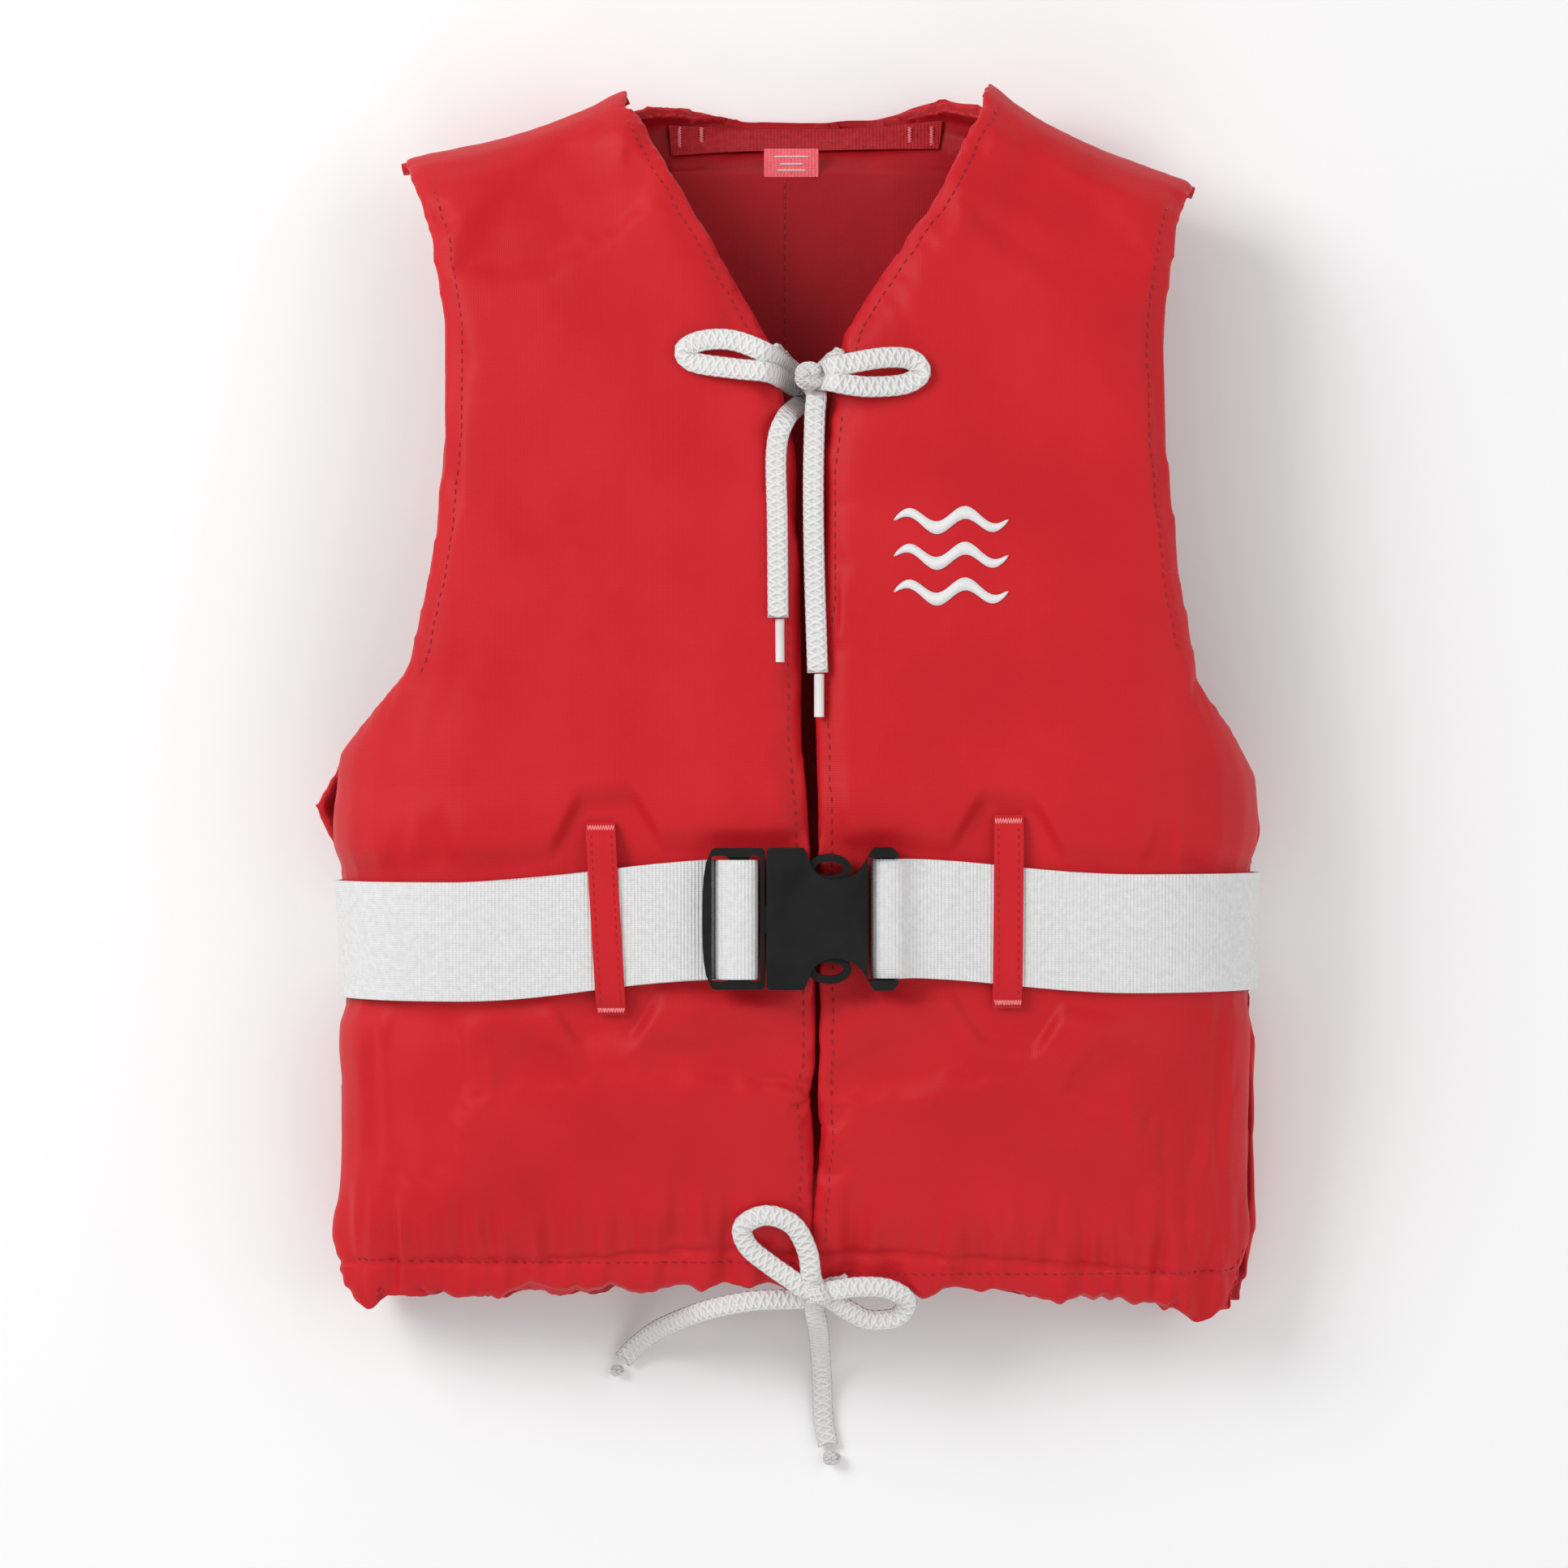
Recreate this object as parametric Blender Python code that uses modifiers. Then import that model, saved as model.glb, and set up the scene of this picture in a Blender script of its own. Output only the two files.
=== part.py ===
"""Foam life jacket lying on its back: metres, +Z up, the wearer's head towards +Y."""
import math

import bmesh
import bpy
from mathutils import Vector

MM = 0.001

# Driving dimensions, in millimetres
PANEL_THICK = 22.0        # cover, foam and lining together
CLOTH = 0.8               # nylon cover
LINING = 0.6              # inner cloth
FOAM_SHARE = 0.9          # how much of the room in its cover the foam fills
EDGE_FOAM = 0.8           # room for the foam where it runs out at a seam
LINING_CLEAR = 2.4        # room between foam and lining
GAP = 0.4                 # clearance between neighbouring pieces
SIDE_ROUND = 60.0         # plan width of the rolled side and shoulder
SEAM_HEIGHT = 40.0        # height of the side and shoulder seams
HEM_SEAM_HEIGHT = 32.0    # the side seam at the hem
HEM_SHEET = 5.0           # the hem channel, pressed flat
HEM_STEP = 0.8            # how far the channel starts under the panels' last stitches
BELT_WIDTH = 50.0
BELT_THICK = 2.0
BELT_Y = -92.4            # the belt's middle at the buckle
BELT_BACK_Y = -100.3      # the belt's middle on the back
BELT_LEFT_Y = -102.0      # and at either side seam
BELT_RIGHT_Y = -98.6
BELT_GROOVE = 4.4         # the back is pressed in where the belt lies
LAYER_1 = 1.4             # mid height of webbing that lies on the cover
LAYER_2 = 3.9             # mid height of webbing that lies on another layer
STRAP_THICK = 1.2
LOOP_WIDTH = 12.5
LOOP_THICK = 1.0
LOOP_RISE = 9.0           # how steeply a belt loop climbs from its sewn ends
BUCKLE_Y = -92.0
BUCKLE_FLOOR = 94.2       # the buckle's underside
BUCKLE_THICK = 13.0
BELT_GROUND = 93.0        # the level that the webbing's heights count from at the buckle
SIDE_SLACK = 0.9          # the belt stands this much further off at the side seams
PRONG_Y = 17.0            # hinge of each prong, off the buckle's middle
PRONG_X = -4.0
CORD_D = 4.0
KNOT_LIFT = 6.2
KNOT_SIZE = (9.6, 10.0, 11.6)
AGLET_R = 2.1
AGLET_LENGTH = 18.0
AGLET_LIFT = 2.4
NECK_MIDDLE = 9.5
TO_ORIGIN = (-1.731, -0.95, 0.0)   # brings the jacket's middle, without its cords, over the origin

# Crown of the front along its length: (y, height)
CROWN = [(-300, 48), (-262, 50), (-238, 58), (-200, 73), (-150, 87), (-92, 93), (0, 93),
         (100, 91), (180, 87), (262, 84), (300, 83)]

# Outlines seen from the front, x and y; left and right are those of the page
FRONT_LEFT_INNER = [(11, -238.5), (11.4, -203), (13, -130), (11.2, -51), (8, 4), (7, 56), (4, 126),
                    (-4.8, 146.7), (-27, 185), (-54, 234), (-67, 254), (-68, 262.7)]
FRONT_LEFT_OUTER = [(-190, -243), (-192.6, -205), (-190.7, -162), (-189, -110), (-192, -65),
                    (-190.7, -28), (-187, -19), (-171.4, -4), (-157.8, 21.7), (-150.4, 57), (-145.6, 84),
                    (-142.8, 134), (-147, 178), (-158.5, 215), (-165.5, 231)]
FRONT_LEFT_HEM = [(11, -238.5), (-34, -235.5), (-91, -239.5), (-190, -243)]
FRONT_LEFT_HEM_EDGE = [(11, -252), (-45, -252.4), (-105.6, -255), (-151, -254.3), (-188, -260)]
FRONT_LEFT_SHOULDER = [(-68, 262.7), (-92, 250), (-126.6, 238.6), (-165.5, 231)]
FRONT_RIGHT_INNER = [(12.6, -239), (13, -203), (14.8, -130), (13, -51), (11, 4), (14.6, 56), (16.6, 126),
                     (20.6, 144.6), (39.9, 175.3), (68.5, 219.7), (82.8, 247.5), (87, 265.7)]
FRONT_RIGHT_OUTER = [(199, -248), (201, -212), (201, -162), (200, -120), (200.5, -80),
                     (205.5, -45), (197, -22.6), (180, 1.7), (170, 44.6), (162.9, 105), (160.5, 138),
                     (167, 192.5), (177.3, 220.5)]
FRONT_RIGHT_HEM = [(12.6, -239), (48.5, -237.4), (115.7, -241.7), (165.8, -246.7), (199, -248)]
FRONT_RIGHT_HEM_EDGE = [(12.6, -252), (55.6, -253), (101, -254.5), (155.7, -259.6), (195, -263)]
FRONT_RIGHT_SHOULDER = [(87, 265.7), (105.7, 250.4), (137, 234.7), (177.3, 220.5)]
BACK_LEFT = [(-189, -243), (-190, -205), (-188.5, -162), (-188, -120), (-190.7, -78), (-200.7, -47),
             (-205.7, -30.5), (-188, -18), (-170, -3), (-155.8, 22), (-148.4, 57), (-141, 134), (-145, 178),
             (-156.5, 213), (-163.5, 230)]
BACK_RIGHT = [(201, -248), (204, -212), (203.5, -162), (201, -120), (201, -80), (206.4, -45),
              (196, -24), (178, 1), (168, 44.6), (161, 105), (158.5, 138), (165, 192.5), (175.3, 219.5)]
BACK_HEM = [(-189, -243), (-91, -241), (14, -240), (115.7, -243), (201, -248)]
BACK_HEM_EDGE = [(-188, -260), (-91, -256), (14, -254), (115.7, -257), (198, -263)]
BACK_TOP = [(-163.5, 230), (-126.6, 237.6), (-92, 249), (-68, 261.7), (-34, 256), (8.4, 254.7), (51, 256.8),
            (87, 264.7), (105.7, 249.4), (137, 233.7), (175.3, 219.5)]

# The foam thins out towards the foot of each armhole
ARMHOLE_FEET = ((-178.0, -12.0), (186.0, -12.0))

# Where the panels' meshes are cut, as shares of their width and length; crowded where they curve
FRONT_ACROSS = (0.0, 0.03, 0.08, 0.16, 0.3, 0.45, 0.6, 0.72, 0.82, 0.9, 0.955, 0.985, 0.997, 1.0)
FRONT_ALONG = (0.0, 0.03, 0.08, 0.17, 0.27, 0.36, 0.45, 0.55, 0.65, 0.75, 0.84, 0.91, 0.96, 0.985, 0.997,
               1.0)
BACK_ACROSS = (0.0, 0.0015, 0.008, 0.024, 0.055, 0.095, 0.15, 0.23, 0.33, 0.42, 0.5,
               0.58, 0.67, 0.77, 0.85, 0.905, 0.945, 0.976, 0.992, 0.9985, 1.0)
BACK_ALONG = (0.0, 0.03, 0.08, 0.12, 0.156, 0.2, 0.213, 0.226, 0.27, 0.325, 0.338, 0.352, 0.37, 0.4,
              0.46, 0.53, 0.62, 0.71, 0.8, 0.87, 0.92, 0.955,
              0.972, 0.985, 0.994, 1.0)
STRAP_ACROSS = BACK_ACROSS[8:13]
STRAP_ALONG = BACK_ALONG[-4:-1]

# Cord routes: x, y and height over the cover; each strand ends against its knot
NECK_KNOT = (10.7, 135.4)
NECK_EXIT_LEFT = [(-4.6, 148.0, 2.6), (0.5, 143.2, 2.8), (3.6, 138.4, 2.8)]
NECK_EXIT_RIGHT = [(23.0, 146.5, 2.6), (20.6, 141.6, 2.8), (17.8, 138.2, 2.8)]
NECK_LOOP_LEFT = [(3.6, 139.0, 8.4), (-5.8, 143.6, 9.4), (-20.8, 149.8, 8.0), (-34.0, 150.2, 5.0),
                  (-42.0, 146.4, 3.4),
                  (-38.0, 141.2, 3.0), (-20.8, 138.2, 6.0), (-6.0, 136.4, 8.6), (3.6, 134.0, 8.4)]
NECK_LOOP_RIGHT = [(17.8, 138.0, 8.4), (27.0, 140.0, 9.2), (42.0, 142.6, 7.0), (53.0, 142.0, 4.0),
                   (57.0, 136.6, 3.2),
                   (50.3, 131.9, 3.0), (36.0, 130.4, 6.0), (26.0, 131.2, 8.4), (17.8, 133.0, 8.4)]
NECK_TAIL_LEFT = [(8.2, 128.4, 4.0), (0.5, 118.0, 3.0), (-3.5, 104.4, 2.5), (-3.1, 73.3, 2.4),
                  (-2.8, 34.0, 2.4)]
NECK_TAIL_RIGHT = [(13.2, 128.4, 4.0), (12.6, 118.0, 3.0), (12.0, 90.0, 2.5), (12.4, 56.1, 2.4),
                   (13.8, 11.0, 2.4)]
HEM_KNOT = (14.0, -253.0)
HEM_EXIT_LEFT = [(2.0, -245.6, 2.4), (5.0, -248.4, 2.6), (7.4, -250.4, 2.6)]
HEM_EXIT_RIGHT = [(27.0, -246.6, 2.4), (23.6, -249.0, 2.6), (20.8, -250.8, 2.6)]
HEM_LOOP_LEFT = [(11.4, -245.6, 8.4), (9.6, -234.0, 7.4), (3.4, -222.6, 4.4), (-8.0, -218.4, 3.0),
                 (-17.6, -223.2, 2.8),
                 (-15.6, -232.0, 3.0), (-5.5, -240.6, 6.6), (2.6, -246.2, 8.4), (7.0, -249.6, 8.4)]
HEM_LOOP_RIGHT = [(21.0, -251.2, 8.4), (32.0, -249.8, 8.2), (44.0, -250.8, 6.0), (52.0, -256.4, 3.0),
                  (48.0, -264.0, 0.4), (36.0, -265.0, 1.6), (28.0, -261.0, 5.4), (21.0, -256.2, 8.4)]
# The hem tails leave the cover, so their heights are over the floor
HEM_TAIL_LEFT = [(6.8, -256.0, 57.6), (-12.7, -256.8, 58.0), (-30.0, -260.4, 54.0), (-43.0, -266.0, 42.0),
                 (-55.5, -273.6, 24.0), (-64.6, -282.0, 8.6), (-71.2, -289.2, 3.2)]
HEM_TAIL_RIGHT = [(12.8, -260.2, 57.0), (14.2, -268.6, 48.0), (15.4, -282.0, 22.0), (16.4, -298.0, 6.4),
                  (17.0, -315.3, 2.6), (19.2, -327.2, 2.6)]
HEM_END_LEFT = (-73.9, -293.9)
HEM_END_RIGHT = (20.6, -332.5)

PARTS = None
CUTTERS = None


# ---------------------------------------------------------------- helpers
def clear_scene():
    for item in list(bpy.data.objects):
        bpy.data.objects.remove(item, do_unlink=True)


def new_collection(name):
    group = bpy.data.collections.new(name)
    bpy.context.scene.collection.children.link(group)
    return group


def material(name, colour, roughness, metallic=0.0):
    mat = bpy.data.materials.get(name)
    if mat is None:
        mat = bpy.data.materials.new(name)
        mat.use_nodes = True
        shader = mat.node_tree.nodes["Principled BSDF"]
        shader.inputs["Base Color"].default_value = (*colour, 1.0)
        shader.inputs["Roughness"].default_value = roughness
        shader.inputs["Metallic"].default_value = metallic
    return mat


def red_nylon():
    return material("red_nylon", (0.58, 0.02, 0.03), 0.6)


def red_lining():
    return material("red_lining", (0.36, 0.01, 0.02), 0.7)


def grey_foam():
    return material("grey_foam", (0.35, 0.35, 0.36), 0.9)


def white_webbing():
    return material("white_webbing", (0.8, 0.8, 0.8), 0.8)


def red_webbing():
    return material("red_webbing", (0.5, 0.02, 0.03), 0.8)


def white_cord():
    return material("white_cord", (0.82, 0.82, 0.81), 0.85)


def black_plastic():
    return material("black_plastic", (0.013, 0.013, 0.013), 0.4)


def label_cloth():
    return material("label_cloth", (0.9, 0.2, 0.22), 0.7)


def clear_tip():
    return material("clear_tip", (0.85, 0.85, 0.84), 0.3)


def add_part(name, mesh, mat, group=None):
    item = bpy.data.objects.new(name, mesh)
    (group or PARTS).objects.link(item)
    if mat:
        item.data.materials.clear()
        item.data.materials.append(mat)
    return item


def smooth_curve(points, count):
    """`count` points at even spacing on a smooth curve through the given points."""
    pts = [Vector(p) for p in points]
    ends = [pts[0] * 2 - pts[1]] + pts + [pts[-1] * 2 - pts[-2]]
    dense = []
    steps = 12
    for a, b, c, d in zip(ends, ends[1:], ends[2:], ends[3:]):
        for k in range(steps):
            u = k / steps
            dense.append(0.5 * (2 * b + (c - a) * u + (2 * a - 5 * b + 4 * c - d) * u * u
                                + (3 * b - a - 3 * c + d) * u ** 3))
    dense.append(pts[-1])
    run = [0.0]
    for a, b in zip(dense, dense[1:]):
        run.append(run[-1] + (b - a).length)
    out = []
    k = 0
    for i in range(count):
        want = run[-1] * i / (count - 1)
        while k < len(run) - 2 and run[k + 1] < want:
            k += 1
        share = (want - run[k]) / max(run[k + 1] - run[k], 1e-9)
        out.append(dense[k].lerp(dense[k + 1], min(max(share, 0.0), 1.0)))
    return out


def read_curve(samples, share):
    """The point at 0 to 1 along evenly spaced samples."""
    place = min(max(share, 0.0), 1.0) * (len(samples) - 1)
    k = min(int(place), len(samples) - 2)
    return samples[k].lerp(samples[k + 1], place - k)


def read_profile(profile, y):
    """Height from a list of (y, height), eased between its points."""
    for (y0, h0), (y1, h1) in zip(profile, profile[1:]):
        if y <= y1:
            u = min(max((y - y0) / (y1 - y0), 0.0), 1.0)
            return h0 + (h1 - h0) * u
    return profile[-1][1]


def soft_crown(y):
    """The crown profile, averaged over a short stretch so that it has no corners."""
    reach = 30.0
    spread = [-1.0, -0.6, -0.2, 0.2, 0.6, 1.0]
    return sum(read_profile(CROWN, y + reach * s) for s in spread) / len(spread)


def ease(u):
    u = min(max(u, 0.0), 1.0)
    return u * u * (3 - 2 * u)


# ---------------------------------------------------------------- the jacket's surface
def seam_height(y):
    return HEM_SEAM_HEIGHT + (SEAM_HEIGHT - HEM_SEAM_HEIGHT) * ease((y + 250) / 120)


def quarter(distance):
    """0 at an edge, 1 from SIDE_ROUND inwards, along a quarter circle."""
    u = 1 - min(max(distance / SIDE_ROUND, 0.0), 1.0)
    return math.sqrt(max(1 - u * u, 0.0))


def side_x(curve, y):
    """x of a side outline at height y; above the armhole's foot it keeps its widest value."""
    y = min(y, -32.0)
    for a, b in zip(curve, curve[1:]):
        if a[1] <= y <= b[1]:
            return a[0] + (b[0] - a[0]) * (y - a[1]) / max(b[1] - a[1], 1e-6)
    return curve[0][0]


def edge_distance(x, y, left, right, top):
    """Distances to the nearer side and to the shoulder line above."""
    side = min(x - side_x(left, y), side_x(right, y) - x)
    for a, b in zip(top, top[1:]):
        if min(a[0], b[0]) <= x <= max(a[0], b[0]):
            share = (x - a[0]) / (b[0] - a[0])
            line = a[1] + (b[1] - a[1]) * share
            slope = (b[1] - a[1]) / (b[0] - a[0])
            return side, (line - y) / math.sqrt(1 + slope * slope)
    nearest = min(top, key=lambda p: abs(p[0] - x))
    return side, nearest[1] - y


def front_height(x, y):
    """Height of the front's outer face over the floor."""
    side, up = edge_distance(x, y, FRONT_LEFT_OUTER, FRONT_RIGHT_OUTER, front_side(x))
    base = seam_height(y) + 0.5
    return base + (soft_crown(y) - base) * quarter(side) * quarter(up)


def neck_share(x):
    """0 across the back of the neck, which lies flat, and 1 where the shoulders rise."""
    return ease((abs(x - NECK_MIDDLE) - 48) / 24)


def front_side(x):
    """The shoulder line over a point of the front."""
    return FRONT_LEFT_SHOULDER if x < NECK_MIDDLE + 2 else FRONT_RIGHT_SHOULDER


def towards_core(x, y, z, side, up, middle):
    """The inward direction: level at a seam, upright over the flat middle, radial between them."""
    across = max(SIDE_ROUND - max(side, 0.0), 0.0) * (1 if x < middle else -1)
    along = -max(SIDE_ROUND - max(up, 0.0), 0.0)
    return Vector((across, along, seam_height(y) - z)).normalized()


def front_inward(p):
    side, up = edge_distance(p.x, p.y, FRONT_LEFT_OUTER, FRONT_RIGHT_OUTER, front_side(p.x))
    return towards_core(p.x, p.y, p.z, side, up, NECK_MIDDLE)


def back_inward(p):
    side, up = edge_distance(p.x, p.y, BACK_LEFT, BACK_RIGHT, BACK_TOP)
    neck = neck_share(p.x)
    return towards_core(p.x, p.y, p.z, side, SIDE_ROUND - neck * max(SIDE_ROUND - up, 0.0), NECK_MIDDLE)


def groove(y):
    return BELT_GROOVE * (1 - ease((abs(y - BELT_BACK_Y) - 38) / 14))


def back_height(x, y):
    """Height of the back's outer face: on the floor in the middle, up at the sides and shoulders."""
    side, up = edge_distance(x, y, BACK_LEFT, BACK_RIGHT, BACK_TOP)
    neck = neck_share(x)
    lift = 1 - neck * (1 - quarter(up))
    flat = quarter(side) * lift
    return (seam_height(y) - 0.5) * (1 - flat) + groove(y) * quarter(side) * lift


def thicken(item, thickness, offset=-1.0):
    mod = item.modifiers.new("Solidify", "SOLIDIFY")
    mod.thickness = thickness * MM
    mod.offset = offset
    mod.use_quality_normals = True
    item.data.shade_smooth()
    return item


def patch(bottom, top, inner, outer, height):
    """A surface between four outlines; s runs from inner to outer, r from bottom to top."""
    b, t, i, o = (smooth_curve([(*p, 0) for p in c], 90) for c in (bottom, top, inner, outer))

    def place(s, r):
        flat = (read_curve(b, s) * (1 - r) + read_curve(t, s) * r + read_curve(i, r) * (1 - s)
                + read_curve(o, r) * s
                - (b[0] * (1 - s) * (1 - r) + b[-1] * s * (1 - r) + t[0] * (1 - s) * r + t[-1] * s * r))
        return Vector((flat.x, flat.y, height(flat.x, flat.y)))
    return place


def surface_grid(place, across, along, inward, depth):
    """A bmesh grid at the given shares, sunk by depth(s, r), with what each vertex came from."""
    bm = bmesh.new()
    bmesh.ops.create_grid(bm, x_segments=len(across) - 1, y_segments=len(along) - 1, size=0.5)
    source = {}
    for v in bm.verts:
        s = across[round((v.co.x + 0.5) * (len(across) - 1))]
        r = along[round((v.co.y + 0.5) * (len(along) - 1))]
        p = place(s, r)
        n = inward(p)
        v.co = (p + n * depth(s, r)) * MM
        source[v] = (s, r, n)
    bm.normal_update()
    if sum(f.normal.dot(source[f.verts[0]][2]) for f in bm.faces) > 0:
        bmesh.ops.reverse_faces(bm, faces=bm.faces)
    return bm, source


def slab(name, surface, across, along, depth, thickness, mat):
    """A closed slab of thickness(s, r): a grid on the surface and its copy further in."""
    place, inward = surface
    bm, source = surface_grid(place, across, along, inward, depth)
    bmesh.ops.triangulate(bm, faces=bm.faces[:], quad_method="FIXED")
    shift = {tuple(round(c, 7) for c in v.co): n * thickness(s, r) * MM for v, (s, r, n) in source.items()}
    made = bmesh.ops.extrude_face_region(bm, geom=bm.faces[:])["geom"]
    for v in made:
        if isinstance(v, bmesh.types.BMVert):
            v.co += shift[tuple(round(c, 7) for c in v.co)]
    bmesh.ops.recalc_face_normals(bm, faces=bm.faces)
    mesh = bpy.data.meshes.new(name)
    bm.to_mesh(mesh)
    bm.free()
    mesh.shade_smooth()
    return add_part(name, mesh, mat)


def front_taper(s):
    return ease(s / 0.1) * ease((1 - s) / 0.06)


def back_taper(s):
    return ease(s / 0.04) * ease((1 - s) / 0.04)


def foam_room(surface, edge_taper):
    """The room for foam at (s, r): full in the middle, thin at the edges and the armhole's foot."""
    fullness = PANEL_THICK - CLOTH - LINING - LINING_CLEAR

    def room(s, r):
        p = surface[0](s, r)
        corner = min(math.hypot(p.x - x, p.y - y) for x, y in ARMHOLE_FEET)
        full = edge_taper(s) * ease(r / 0.08) * ease((1 - r) / 0.06) * ease((corner - 12) / 45)
        return EDGE_FOAM + (fullness - EDGE_FOAM) * full
    return room


def panel(name, surface, across, along, foam_across, edge_taper):
    """One panel: the cover, the foam slab in it and the lining behind it, thin at every edge."""
    room = foam_room(surface, edge_taper)
    slab(name + "_outer_shell", surface, across, along, lambda s, r: 0.0, lambda s, r: CLOTH, red_nylon())
    slab(name + "_foam", surface, foam_across, along[1:-1], lambda s, r: CLOTH + 1.4 * GAP,
         lambda s, r: FOAM_SHARE * room(s, r), grey_foam())
    slab(name + "_lining", surface, across, along, lambda s, r: CLOTH + LINING_CLEAR + room(s, r),
         lambda s, r: LINING, red_lining())


def hem_strip(name, top, bottom, height, inward, across):
    """The flattened channel under a panel's last row of stitches."""
    upper = smooth_curve([(*p, 0) for p in top], 60)
    lower = smooth_curve([(*p, 0) for p in bottom], 60)

    def place(s, r):
        flat = read_curve(upper, s).lerp(read_curve(lower, s), 1 - r)
        return Vector((flat.x, flat.y - HEM_STEP, height(flat.x, flat.y - HEM_STEP)))
    slab(name, (place, inward), across, (0.0, 0.5, 1.0),
    lambda s, r: 0.0, lambda s, r: HEM_SHEET, red_nylon())


# ---------------------------------------------------------------- webbing
def ribbon(name, rows, thickness, mat):
    """A strip through rows of points, thickened evenly to both sides."""
    mesh = bpy.data.meshes.new(name)
    bm = bmesh.new()
    lines = [[bm.verts.new(p * MM) for p in row] for row in rows]
    for a, b in zip(lines, lines[1:]):
        for k in range(len(a) - 1):
            bm.faces.new((a[k], a[k + 1], b[k + 1], b[k]))
    bmesh.ops.recalc_face_normals(bm, faces=bm.faces)
    bm.to_mesh(mesh)
    bm.free()
    return thicken(add_part(name, mesh, mat), thickness, 0.0)


def belt_row(point_at, y_middle, count=5):
    half = BELT_WIDTH / 2
    return [point_at(y_middle - half + BELT_WIDTH * k / (count - 1)) for k in range(count)]


def belt_side(sign, lift, angles):
    """Rows round one side at the given angles: 90 degrees on the front, 0 at the seam, -90 on the back."""
    middle_y = {-1: BELT_LEFT_Y, 1: BELT_RIGHT_Y}[sign]
    front, back = {-1: (FRONT_LEFT_OUTER, BACK_LEFT), 1: (FRONT_RIGHT_OUTER, BACK_RIGHT)}[sign]

    def arc(y, degrees):
        angle = math.radians(degrees)
        wide = max(sign * side_x(front, y), sign * side_x(back, y))
        out = lift(degrees) + SIDE_SLACK * math.cos(angle)
        low = seam_height(y)
        rise = soft_crown(y) - low if degrees >= 0 else low - groove(y)
        x = sign * (wide - SIDE_ROUND + (SIDE_ROUND + out) * math.cos(angle))
        return Vector((x, y, low + (rise + out) * math.sin(angle)))
    return [belt_row(lambda y, a=a: arc(y, a), middle_y) for a in angles]


def front_run(stations, shift):
    """Rows over the front at (x, lift) stations; under the buckle the belt lies level."""
    def point(x, y, lift):
        level = 1 - ease((abs(x) - 48) / 14)
        ground = front_height(x, y)
        return Vector((x, y, ground + (BELT_GROUND - ground) * level + lift))
    return [belt_row(lambda y, x=x, lift=lift: point(x, y, lift), shift(x)) for x, lift in stations]


def left_middle(x):
    return BELT_Y + (BELT_LEFT_Y - BELT_Y) * ease((-x - 30) / 100)


def right_middle(x):
    return BUCKLE_Y + (BELT_RIGHT_Y - BUCKLE_Y) * ease((x - 50) / 90)


def belt():
    """The webbing from its end under the belt, round the bar, along one side and over the back."""
    bar_wrap = [(-34, LAYER_2), (-30.5, 4.4), (-28.4, 7.0), (-27.2, 10.0), (-24.4, 11.9), (-19.0, 12.3),
                (-14.0, 11.9), (-11.9, 10.0), (-11.7, 6.6), (-13.0, 3.0), (-16.0, LAYER_1)]
    under = [(-50, LAYER_1), (-90, LAYER_1)]
    over = [(-60, LAYER_2), (-90, LAYER_2), (-112, LAYER_2)]

    def left_lift(degrees):
        return LAYER_1 + (LAYER_2 - LAYER_1) * ease((degrees - 34) / 20)
    rows = belt_side(-1, lambda degrees: LAYER_1, (60, 70, 80, 90))
    rows += front_run((under[::-1] + bar_wrap[::-1] + over), left_middle)
    rows += belt_side(-1, left_lift, (90, 80, 70, 60, 50, 40, 30, 20, 10, 0, -10, -20, -32, -46, -62,
    -78, -90))
    across = 5
    left_x = side_x(BACK_LEFT, BELT_BACK_Y) + SIDE_ROUND
    right_x = side_x(BACK_RIGHT, BELT_BACK_Y) - SIDE_ROUND
    for k in range(1, across):
        x = left_x + (right_x - left_x) * k / across
        middle = BELT_LEFT_Y + (BELT_RIGHT_Y - BELT_LEFT_Y) * k / across
        rows.append(belt_row(lambda y, x=x: Vector((x, y, groove(y) - LAYER_1)), middle))
    rows += belt_side(1, lambda degrees: LAYER_1, (-90, -78, -62, -46, -32, -20, -10, -1.0))
    ribbon("belt_webbing", rows, BELT_THICK, white_webbing())


def belt_right():
    """The webbing that follows the pulled half of the buckle."""
    rows = belt_side(1, lambda degrees: LAYER_1, (1.0, 10, 20, 30, 40, 50, 60, 70, 80, 90))
    stations = [(120, LAYER_1), (92, LAYER_1), (80, 2.2), (70, LAYER_2), (58, LAYER_2), (52.5, 5.4),
    (49.8, 8.0),
                (48.0, 10.0), (44.5, 11.0), (40.0, 10.8), (37.2, 8.6), (36.6, 5.0), (38.2, 2.2),
                (41.5, LAYER_1), (52, LAYER_1), (66, LAYER_1)]
    rows += front_run(stations, right_middle)
    ribbon("belt_front_right", rows, BELT_THICK, white_webbing())


def belt_loop(name, middle_x, top_y, bottom_y, tilt, height, sign, under):
    """A narrow strip sewn down above and below the belt and standing clear over it."""
    rows = []
    steps = 12
    for k in range(steps + 1):
        share = k / steps
        y = top_y + (bottom_y - top_y) * share
        rise = ease(min(share, 1 - share) * LOOP_RISE)
        lift = 0.9 + (under - 0.9) * rise
        x = middle_x + tilt * (share - 0.5)
        row = []
        for side in (-0.5, 0.5):
            px = x + side * LOOP_WIDTH
            row.append(Vector((px, y, height(px, y) + sign * lift)))
        rows.append(row)
    ribbon(name, rows, LOOP_THICK, red_webbing())


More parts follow.
